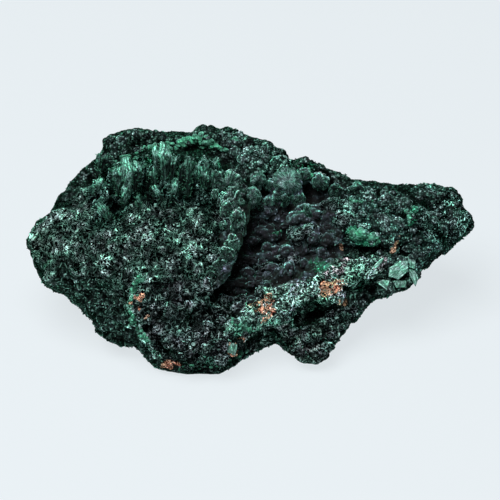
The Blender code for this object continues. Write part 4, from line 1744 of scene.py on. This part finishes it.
GROUNDS = (
    Ground(Rough.REAR, "#5d8176", (), 3.2, 0.9, 0.9, 0.8, 2.2),
    Ground(Rough.CRUST, "#6a9286", (Patch(0.0, 0.0, 90.0, 60.0),), 2.4, 0.8, 0.9, 0.9),
    Ground(Rough.CRUST, "#5c8d7a", TOP_BAND, 4.4, 1.3, 0.6, 0.94, 1.8),
    Ground(Rough.SPONGE, "#6f9f90", CAULIFLOWER, 3.0, 0.8, 1.4, 0.7, 1.2),
    Ground(Rough.VELVET, "#6b9285", LEFT, 3.0, 0.6, 0.92, 0.55, 1.8),
    Ground(Rough.CRUST, "#5f897c", FLANK, 2.6, 0.8, 0.7, 0.9, 1.3),
    Ground(Rough.VELVET, "#649a8a", FAN_BED, 2.0, 0.6, 0.5, 0.7),
    Ground(Rough.CRUST, "#669d8f", ARM, 2.8, 0.9, 0.8, 0.92),
    Ground(Rough.SPONGE, "#6c9c8f", TIP, 3.0, 0.8, 1.3, 0.85, 1.3),
    Ground(Rough.GRAPES, "#5c727a", HOLLOW, 3.4, 1.3, 0.5, 0.92, 1.8),
    Ground(Rough.SPONGE, "#7f9c95", LOBE, 4.2, 1.3, 0.52, 0.93, 1.4),
    Ground(Rough.SPONGE, "#7f9c92", FOOT, 3.4, 1.0, 1.15, 0.92),
    Ground(Rough.SPONGE, "#74a692", RIDGE, 2.4, 0.8, 1.8, 0.9),
)

STAINS = (
    # Bright green malachite: the torn ledge over the fans, and spots on the right.
    Stain(
        "#4aa37c",
        (
            Patch(-15.0, 24.6, 9.0, 1.0, -3.0),
            Patch(-26.0, 22.5, 6.0, 0.9, 12.0),
            Patch(-29.0, 22.5, 2.4, 1.4),
            Patch(-6.5, 20.5, 2.0, 2.4, -10.0),
        ),
        0.5,
        0.5,
        1.4,
        0.3,
    ),
    Stain(
        "#55c297",
        (
            Patch(28.5, 2.8, 3.2, 1.3, -10.0),
            Patch(39.3, 8.2, 1.1, 2.3),
            Patch(25.5, 4.2, 1.6, 1.2),
        ),
        0.9,
        0.9,
    ),
    Stain(
        "#4fb990",
        (
            Patch(14.0, 20.2, 1.7, 1.4),
            Patch(6.2, 4.2, 1.7, 0.9),
            Patch(12.5, 8.8, 1.7, 0.9),
            Patch(16.6, -3.8, 1.6, 1.6),
        ),
        0.7,
    ),
    Stain("#6fae9c", (Patch(24.0, 10.8, 5.0, 1.7, -4.0), Patch(31.0, 8.0, 5.0, 1.6, 5.0)), 0.6, 0.6),
    # The lighter left end.
    Stain(
        "#7fb09c",
        (
            Patch(-51.5, -3.0, 4.5, 9.0, -10.0),
            Patch(-47.0, -12.0, 4.0, 3.0, -40.0),
        ),
        0.3,
        0.7,
        3.0,
        0.0,
    ),
    Stain("#86b8a6", (Patch(-42.0, 9.2, 3.6, 2.6),), 0.45, 0.7, 3.0, 0.0),
    # Mint and white crusts.
    Stain("#93cdb8", (*RIDGE, *LEFT_SEAM), 1.1, 0.5, 1.6),
    Stain(
        "#e2f3ee",
        (
            Patch(32.8, -3.0, 2.2, 1.3, 20.0),
            Patch(21.0, -5.0, 4.0, 1.6, 35.0),
            Patch(20.0, -11.0, 2.5, 1.0),
        ),
        0.85,
        0.5,
        0.9,
    ),
    Stain(
        "#7cc4ab",
        (
            Patch(7.0, -17.5, 4.0, 1.2, 25.0),
            Patch(-3.0, -20.8, 4.0, 1.4, 35.0),
            Patch(-9.0, -26.5, 4.0, 1.5, 5.0),
        ),
        0.7,
        0.6,
    ),
    Stain("#8dcdb7", LEFT_SEAM, 0.7, 0.5, 1.0),
    # Rusty iron hydroxide.
    Stain(
        "#d39c78",
        (
            Patch(20.6, -9.2, 2.8, 1.5, 28.0),
            Patch(3.6, -13.6, 3.0, 0.7, 8.0),
            Patch(4.6, -16.0, 1.8, 0.7, 30.0),
            Patch(6.6, -14.6, 0.9, 0.8),
            Patch(35.6, 0.9, 0.8, 1.5, -22.0),
            Patch(22.4, 0.9, 0.7, 0.5),
            Patch(-26.9, -11.6, 1.5, 0.9, -20.0),
            Patch(-29.4, -13.6, 0.8, 0.9),
            Patch(-25.8, -15.6, 0.8, 0.6),
            Patch(-3.0, -25.4, 1.5, 0.9, 15.0),
            Patch(-19.2, -28.2, 1.8, 0.6, 5.0),
            Patch(22.6, -13.2, 1.0, 0.7),
            Patch(-3.6, -24.0, 2.4, 1.2, 15.0),
        ),
        1.35,
        0.8,
        0.9,
        0.25,
    ),
)

FANS = (
    drape(-37.4, 23.0, 1.8, 4.6, 4.0, 0.58, lift=0.6, depth=1.4),
    drape(-35.6, 24.2, 1.7, 5.0, 12.0, 0.58, lift=0.6, depth=1.4),
    drape(-36.6, 17.2, 2.4, 5.4, 30.0, 0.68, lift=0.8, depth=1.6),
    drape(-36.6, 11.0, 2.4, 4.6, -36.0, 0.68, lift=0.7, depth=1.6),
    drape(-32.8, 20.6, 3.4, 7.2, -8.0, 1.05),
    drape(-30.2, 22.0, 3.4, 9.4, -3.0, 1.12),
    drape(-27.8, 21.8, 2.8, 7.6, 2.0, 0.95),
    drape(-25.2, 20.2, 2.4, 8.2, -2.0, 0.36, cap=0.1),
    drape(-23.4, 19.2, 2.2, 7.6, 1.0, 0.42, cap=0.1),
    drape(-22.6, 24.8, 2.8, 6.6, -4.0, 0.85),
    drape(-20.6, 25.4, 2.8, 8.4, 2.0, 1.05),
    drape(-18.7, 23.6, 2.0, 7.4, 5.0, 0.85),
    drape(-16.8, 22.4, 2.6, 8.6, 0.0, 0.32, cap=0.05),
    drape(-14.8, 21.4, 2.6, 8.6, 3.0, 0.32, cap=0.05),
    drape(-12.9, 21.0, 2.7, 5.4, 4.0, 0.92, cap=0.5),
    drape(-10.9, 20.9, 2.7, 5.6, 10.0, 0.99, cap=0.5),
    drape(-9.3, 19.7, 2.3, 5.2, 18.0, 0.88, cap=0.5),
    drape(-8.0, 22.6, 1.3, 4.8, 24.0, 1.02, cap=0.5, lift=1.0, depth=1.4),
    drape(-18.0, 17.4, 2.2, 6.6, 14.0, 0.99, cap=0.5, depth=1.6),
    drape(-23.2, 15.4, 1.8, 4.6, -26.0, 0.78, cap=0.5, depth=1.4),
    drape(-30.5, 15.2, 2.0, 4.8, 6.0, 0.85, cap=0.5, depth=1.4),
    drape(-27.6, 13.4, 1.6, 4.2, -10.0, 0.61, cap=0.5, depth=1.4),
)

PLATES = (
    Plate(
        ((34.3, -6.6), (36.9, -7.3), (39.1, -5.1), (39.0, -2.6), (37.2, -2.7), (34.6, -4.3)),
        35.0,
        0.95,
        0.5,
        0.1,
    ),
    Plate(((39.3, -4.6), (40.9, -5.2), (41.8, -7.0), (41.0, -9.0), (39.5, -6.2)), 110.0, 0.7, 0.5),
    Plate(((38.7, -1.7), (39.4, -4.2), (40.9, -4.8), (41.0, -2.2), (40.2, -1.4)), 100.0, 0.65, 0.5),
    Plate(((31.3, -8.0), (33.8, -9.9), (34.5, -7.6), (33.0, -7.3)), 130.0, 0.75, 0.5),
    Plate(((35.2, -7.7), (36.2, -9.3), (38.7, -9.2), (38.6, -7.6), (36.8, -7.5)), 60.0, 0.5, 0.3),
    Plate(((30.3, -4.1), (30.9, -4.6), (32.6, -3.0), (33.0, -1.9), (32.0, -2.4)), 40.0, 1.3, 0.2),
    Plate(((-5.4, -25.2), (-3.6, -25.8), (-3.0, -23.2), (-4.6, -22.4), (-6.2, -23.2)), 100.0, 0.5, 0.2),
)

BALLS = (
    Lump(1.8, 17.2, 2.2, 0.9, (1.0, 1.0), 0.6, 1.8),
    Lump(4.9, 16.3, 1.7, 0.76),
    Lump(0.4, 13.0, 2.4, 0.9, (0.95, 1.1), 0.6, 1.8),
    Lump(9.4, 17.4, 3.5, 1.15, (1.05, 1.0), 0.5, 4.0),
    Lump(8.3, 13.2, 2.7, 0.72),
    Lump(12.0, 12.6, 1.9, 0.68),
    Lump(17.3, 17.2, 2.4, 0.85),
    Lump(4.6, 11.9, 1.5, 0.76),
    Lump(3.0, 10.8, 1.2, 0.57),
    Lump(13.6, 18.9, 1.7, 1.1, (1.0, 0.9), 0.3, 1.6),
    Lump(10.8, 21.2, 2.0, 0.7),
    Lump(6.6, 21.6, 1.6, 0.5),
    Lump(13.5, 9.2, 2.4, 0.57),
    Lump(21.5, 14.6, 2.0, 0.42),
    Lump(27.0, 14.8, 2.2, 0.38),
)

GRAPE_LUMPS = (
    Lump(12.4, 7.6, 2.8, 0.9, (1.2, 0.8), 0.5),
    Lump(4.2, 4.0, 3.0, 0.6, (1.2, 0.8), 0.7),
    Lump(5.0, -0.6, 2.6, 0.5),
    Lump(0.8, 6.2, 2.2, 0.5),
    Lump(16.8, 9.4, 2.2, 0.5),
    *scattered(Patch(10.0, 2.5, 10.5, 9.0), 60, (1.1, 2.0), (0.2, 1.1)),
    *scattered(Patch(-1.5, -8.0, 7.0, 6.0, 45.0), 40, (0.9, 1.8), (0.15, 0.6)),
)

LOBE_LUMPS = (
    Lump(13.6, 3.8, 4.2, 1.1, (1.1, 0.9), 0.7),
    Lump(10.4, -2.2, 3.6, 1.0, (1.2, 0.8), 0.7),
    Lump(20.8, 11.0, 3.0, 0.9, (1.3, 0.7), 0.5),
    Lump(23.4, 7.6, 3.0, 1.2, (1.2, 0.8), 0.6),
    Lump(3.6, -4.4, 2.4, 0.5, (1.2, 0.8), 0.6),
    Lump(-13.0, -12.6, 3.0, 0.9, (1.1, 0.9), 0.7),
    Lump(-18.6, -14.6, 2.6, 0.8, (1.0, 1.0), 0.7),
    Lump(-19.6, -20.4, 2.8, 0.7, (1.0, 1.1), 0.7),
    Lump(-12.6, -19.6, 2.6, 0.5, (1.0, 1.0), 0.7),
    Lump(-7.4, -16.4, 2.6, 0.9, (1.1, 0.9), 0.7),
    Lump(-9.6, -24.2, 2.4, 0.9, (1.2, 0.8), 0.6),
    Lump(-2.0, -13.2, 2.4, 0.7),
    Lump(2.4, -11.0, 1.9, 1.3, (0.7, 1.2), 0.3),
    *scattered(Patch(-13.5, -17.5, 13.0, 10.0, -12.0), 80, (1.0, 2.0), (0.2, 1.7)),
    *scattered(Patch(14.5, -22.0, 6.4, 3.8), 34, (1.0, 2.0), (0.3, 1.3)),
    *scattered(Patch(21.5, -16.8, 5.0, 2.6, 30.0), 16, (0.9, 1.7), (0.2, 0.8)),
)

CLUSTERS = (
    Lump(23.6, 10.4, 2.6, 1.5, (1.3, 0.7), 0.6, 1.3),
    Lump(27.0, 10.6, 2.2, 1.3, (1.3, 0.7), 0.6, 1.3),
    Lump(34.8, 12.0, 2.6, 0.9, (1.1, 0.9), 0.6),
    Lump(38.4, 11.0, 2.2, 1.0),
    Lump(33.0, 7.2, 2.2, 1.2),
    Lump(43.6, 13.2, 2.4, 0.5, (1.3, 0.8), 0.6),
    *scattered(Patch(33.5, 8.5, 10.0, 6.0, -4.0), 90, (0.8, 2.0), (0.3, 1.6)),
    *scattered(Patch(36.0, -0.5, 8.0, 4.5), 50, (0.8, 1.7), (0.2, 1.1)),
    *scattered(Patch(3.0, 24.4, 9.0, 4.2, -22.0), 70, (0.9, 2.0), (0.4, 1.8)),
    *scattered(Patch(-32.0, 26.0, 5.6, 3.0, 20.0), 40, (0.9, 2.0), (0.3, 0.9)),
    *scattered(Patch(-20.0, 28.0, 10.0, 1.6), 30, (1.0, 2.0), (0.1, 0.4)),
    *scattered(Patch(-6.5, 27.6, 7.0, 2.0, -6.0), 30, (1.2, 2.0), (0.1, 0.45)),
    *scattered(Patch(49.0, 9.6, 4.6, 4.4), 50, (0.6, 1.2), (0.3, 1.2)),
)

LIP = (
    Lump(-5.8, 15.6, 3.3, 1.0, (1.1, 1.25), 0.55, 1.3),
    Lump(-8.4, 17.6, 2.1, 0.8, (1.0, 1.2), 0.5, 1.3),
    Lump(-3.6, 11.6, 2.3, 1.0, (0.9, 1.3), 0.5, 1.2),
    Lump(-5.6, 10.0, 1.7, 0.7, (0.9, 1.3), 0.3),
    Lump(-3.1, 7.6, 2.1, 0.9, (0.9, 1.3), 0.5),
    Lump(-3.5, 4.4, 2.1, 0.9, (0.85, 1.3), 0.5),
    Lump(-4.4, 1.4, 2.0, 0.8, (0.9, 1.2), 0.5),
    Lump(-5.6, -1.2, 1.9, 0.7, (1.0, 1.1), 0.5),
    Lump(-7.4, -3.4, 1.7, 0.6, (1.1, 1.0), 0.5),
    Lump(-9.2, -5.2, 1.5, 0.5, (1.2, 0.9), 0.5),
    Lump(-8.6, 13.8, 1.1, 1.0, (0.8, 1.3), 0.2, 1.4),
    Lump(-7.2, 11.6, 1.0, 0.9, (0.8, 1.3), 0.2, 1.4),
    Lump(-6.8, 8.8, 0.9, 0.8, (0.8, 1.3), 0.2, 1.3),
    Lump(-6.6, 6.0, 1.0, 0.7, (0.8, 1.3), 0.2),
)

LEDGES = (
    *strung(((-33.8, 19.4), (-33.0, 22.0), (-30.0, 23.4), (-27.5, 25.0)), 26, 0.75, 0.75, 0.4),
    *strung(((-27.5, 25.0), (-24.5, 26.0), (-21.3, 26.7), (-18.0, 26.0)), 26, 0.7, 1.0, 0.15),
    *strung(((-23.6, 25.2), (-20.4, 25.4), (-17.4, 24.8)), 16, 0.5, 0.8, 0.3),
    *strung(((-17.6, 26.4), (-15.2, 27.6), (-12.0, 27.5), (-9.6, 26.7)), 34, 1.1, 1.1, 0.5),
    *strung(((-10.8, 26.3), (-8.4, 25.9), (-5.8, 24.7)), 20, 0.65, 1.1, 0.2),
    *strung(((-4.6, 27.8), (-3.0, 27.6)), 5, 0.6, 1.2, 0.2),
    *strung(((-29.0, 20.6), (-24.5, 21.6), (-20.5, 20.4)), 16, 0.55, 0.6, 0.8),
    *strung(((25.6, 3.4), (27.8, 4.0), (30.2, 2.9), (31.8, 1.4)), 34, 1.2, 1.1, 0.5),
    *strung(((24.8, 12.1), (27.4, 11.8)), 10, 0.5, 1.0, 0.15),
    *strung(((39.0, 9.2), (39.6, 6.0)), 9, 0.6, 1.1, 0.3),
    *strung(((29.5, 12.4), (30.8, 12.2)), 5, 0.5, 1.0, 0.15),
    *strung(((5.2, 4.8), (7.6, 4.0)), 9, 0.5, 0.9, 0.3),
    *strung(((12.2, 9.2), (13.2, 8.6)), 5, 0.5, 0.9, 0.3),
    *strung(((14.0, 20.4), (15.4, 18.6), (14.2, 17.6)), 11, 0.55, 1.3, 0.2),
    *strung(((16.2, -3.2), (17.0, -4.4)), 7, 0.7, 2.0, 0.3),
    *strung(
        ((-25.8, -6.4), (-28.4, -9.4), (-29.6, -14.4), (-28.4, -18.4), (-24.2, -23.8)), 60, 0.6, 0.95, 0.45
    ),
    *strung(((-4.8, -17.6), (-1.4, -19.0), (3.0, -20.6)), 24, 0.5, 0.9, 0.4),
    *strung(((-18.0, -29.0), (-8.0, -28.6), (-1.0, -25.0)), 26, 0.5, 0.7, 0.4),
)

EAST = (*ARM, *RIDGE, *FOOT)

HABITS = (
    Habit(
        "velvet_needles",
        Crystal.VELVET,
        patches=LEFT,
        bare=(*LOBE, *FAN_BED, Patch(5.0, 2.0, 7.5, 16.0), Patch(-4.0, 8.0, 4.0, 14.0, -8.0)),
        per_mm2=0.8,
        length=(0.7, 1.5),
        width=(0.2, 0.3),
        lay=0.85,
        tangle=0.6,
        lit=0.3,
    ),
    Habit(
        "coarse_grains",
        Crystal.CRUST,
        patches=(*EAST, *CAULIFLOWER, *TOP_BAND, Patch(-38.0, -16.0, 10.0, 9.0, -30.0)),
        per_mm2=1.0,
        length=(0.35, 0.7),
        width=(0.24, 0.42),
        swell=(1.0, 0.6),
        lay=0.8,
        tangle=0.6,
        lit=0.35,
    ),
    Habit(
        "dark_grains",
        Crystal.GRAPE,
        patches=(*HOLLOW, *LOBE),
        per_mm2=1.0,
        length=(0.25, 0.5),
        width=(0.22, 0.4),
        swell=(1.0, 0.6),
        lay=0.3,
        tangle=0.6,
        lit=0.22,
    ),
    Habit(
        "mint_crumbs",
        Crystal.MINT,
        patches=(*RIDGE, *LEFT_SEAM, Patch(32.8, -3.0, 2.4, 1.6, 20.0)),
        per_mm2=1.4,
        length=(0.3, 0.7),
        width=(0.2, 0.34),
        swell=(1.0, 0.7),
        sides=4,
        tuft=1.0,
        tangle=0.9,
        lit=0.35,
        clump=1.0,
    ),
    Habit(
        "limonite_crumbs",
        Crystal.LIMONITE,
        patches=STAINS[-1].patches,
        per_mm2=8.0,
        length=(0.2, 0.4),
        width=(0.22, 0.36),
        swell=(1.0, 0.8),
        sides=4,
        tuft=0.9,
        tangle=0.9,
        lit=0.55,
        clump=0.2,
    ),
    Habit(
        "green_crumbs",
        Crystal.GREEN,
        patches=(*STAINS[1].patches, *STAINS[2].patches),
        per_mm2=6.0,
        length=(0.4, 0.8),
        width=(0.22, 0.4),
        tuft=1.2,
        tangle=0.8,
        lit=0.5,
        clump=0.4,
    ),
    Habit(
        "rear_grains",
        Crystal.CRUST,
        side=Side.BACK,
        per_mm2=0.8,
        length=(0.4, 0.8),
        width=(0.4, 0.7),
        swell=(1.0, 0.55),
        tuft=2.4,
        lay=0.8,
        tangle=0.5,
        lit=0.35,
    ),
)


# Stage ------------------------------------------------------------------------------------------


@dataclass(frozen=True)
class StageSizes:
    """The camera, the lights and the floor, in millimetres and watts."""

    lens: float = 200.0
    sensor: float = 36.0
    frame_width: float = 125.0
    floor: float = 4000.0
    floor_colour: str = "#65696b"
    floor_glow: float = 0.755
    glow_colour: str = "#f4fbff"
    key_place: tuple[float, float, float] = (-160.0, -180.0, 640.0)
    key_power: float = 5.0
    key_size: float = 450.0
    sky_colour: str = "#f4f8fb"
    sky_strength: float = 0.12


class Stage:
    """A pale floor, soft lights from above and a camera square to the show face."""

    def __init__(self, sizes: StageSizes) -> None:
        """Remembers the sizes."""
        self.sizes = sizes

    def _floor(self) -> None:
        """A plain pale floor."""
        half = self.sizes.floor * MM / 2.0
        corners = [(-half, -half, 0.0), (half, -half, 0.0), (half, half, 0.0), (-half, half, 0.0)]
        mesh = bpy.data.meshes.new("floor")
        mesh.from_pydata(corners, [], [(0, 1, 2, 3)])
        floor = bpy.data.objects.new("floor", mesh)
        bpy.context.scene.collection.objects.link(floor)
        graph = Graph("backlit pale acrylic sheet")
        shader = graph.add(
            "BsdfPrincipled",
            inputs={
                "Base Color": colour(self.sizes.floor_colour),
                "Roughness": 0.9,
                "Specular IOR Level": 0.0,
                "Emission Color": colour(self.sizes.glow_colour),
                "Emission Strength": self.sizes.floor_glow,
            },
        )
        mesh.materials.append(graph.finish(shader[0]))

    def _lamp(self, name: str, place: tuple[float, float, float], power: float, size: float) -> None:
        """A square soft box at a place, in millimetres, turned to the specimen."""
        light = bpy.data.lights.new(name, "AREA")
        light.energy = power
        light.size = size * MM
        lamp = bpy.data.objects.new(name, light)
        lamp.location = [part * MM for part in place]
        lamp.rotation_mode = "QUATERNION"
        lamp.rotation_quaternion = lamp.location.to_track_quat("Z", "Y")
        bpy.context.scene.collection.objects.link(lamp)

    def _sky(self) -> None:
        """An even, slightly cool light from all round."""
        world = bpy.data.worlds.new("studio")
        world.use_nodes = True
        background = world.node_tree.nodes["Background"]
        background.inputs["Color"].default_value = colour(self.sizes.sky_colour)
        background.inputs["Strength"].default_value = self.sizes.sky_strength
        bpy.context.scene.world = world

    def _camera(self) -> None:
        """A long lens, aimed along the face frame's own axis."""
        data = bpy.data.cameras.new("camera")
        data.lens = self.sizes.lens
        data.sensor_width = self.sizes.sensor
        data.clip_end = 20.0
        camera = bpy.data.objects.new("camera", data)
        distance = self.sizes.frame_width * self.sizes.lens / self.sizes.sensor
        camera.location = FACE.to_row(np.array([(0.0, 0.0, distance)]))[0]
        camera.rotation_euler = (math.radians(90.0 - FACE.looks_up), 0.0, 0.0)
        bpy.context.scene.collection.objects.link(camera)
        bpy.context.scene.camera = camera

    def build(self) -> None:
        """Makes everything that isn't the specimen."""
        self._floor()
        self._lamp("key", self.sizes.key_place, self.sizes.key_power, self.sizes.key_size)
        self._sky()
        self._camera()
        bpy.context.scene.view_settings.view_transform = "Standard"


def main() -> None:
    """Builds the specimen from the ground up, then its stage."""
    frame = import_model()
    MATERIALS.update({finish: finish.value.material() for finish in Rough})
    skin = Skin(frame["nodes"][NODE], SkinSizes())
    skin.build()
    fans = Fans("silky_fans", FANS, Rough.SILK, "#78c0a6", 0.5, skin).build()
    Plates("pale_plates", PLATES, Rough.PLATE, "#8fd0b8", skin).build()
    plush = LumpLook(Rough.PLUSH, "#6c988c", "#7acbb0", 0.48, 4.6)
    balls = Lumps("velvet_balls", BALLS, plush, skin).build()
    dark = LumpLook(Rough.GRAPES, "#5c6c74", "#6a9c94", 0.7, 3.3, 0.6)
    Lumps("dark_grapes", GRAPE_LUMPS, dark, skin).build()
    porous = LumpLook(Rough.SPONGE, "#73908a", "#78b0a0", 1.4, 2.4, 0.5)
    Lumps("lobed_crust", LOBE_LUMPS, porous, skin).build()
    grey = LumpLook(Rough.CRUST, "#6d988c", "#78aa9c", 1.9, 1.8, 0.4)
    Lumps("grey_clusters", CLUSTERS, grey, skin).build()
    green = LumpLook(Rough.GREEN, "#5cb08c", "#7fe0b8", 2.2, 1.5)
    Lumps("green_ledges", LEDGES, green, skin).build()
    silky = LumpLook(Rough.SILK, "#719f91", "#8ad4b8", 0.38, 4.2, 0.7)
    lip = Lumps("torn_lip", LIP, silky, skin).build()
    Pile("fan_fibres", fans, Crystal.SILK, 1.2, (0.3, 0.7)).build(701, 0.8)
    Pile("ball_pile", balls, Crystal.PILE, 4.0, (0.1, 0.22)).build(702)
    Pile("lip_pile", lip, Crystal.PILE, 4.0, (0.15, 0.35)).build(703)
    for number, habit in enumerate(HABITS):
        Growth(habit, skin, 100 * (number + 1)).build()
    Stage(StageSizes()).build()


if __name__ == "__main__":
    main()
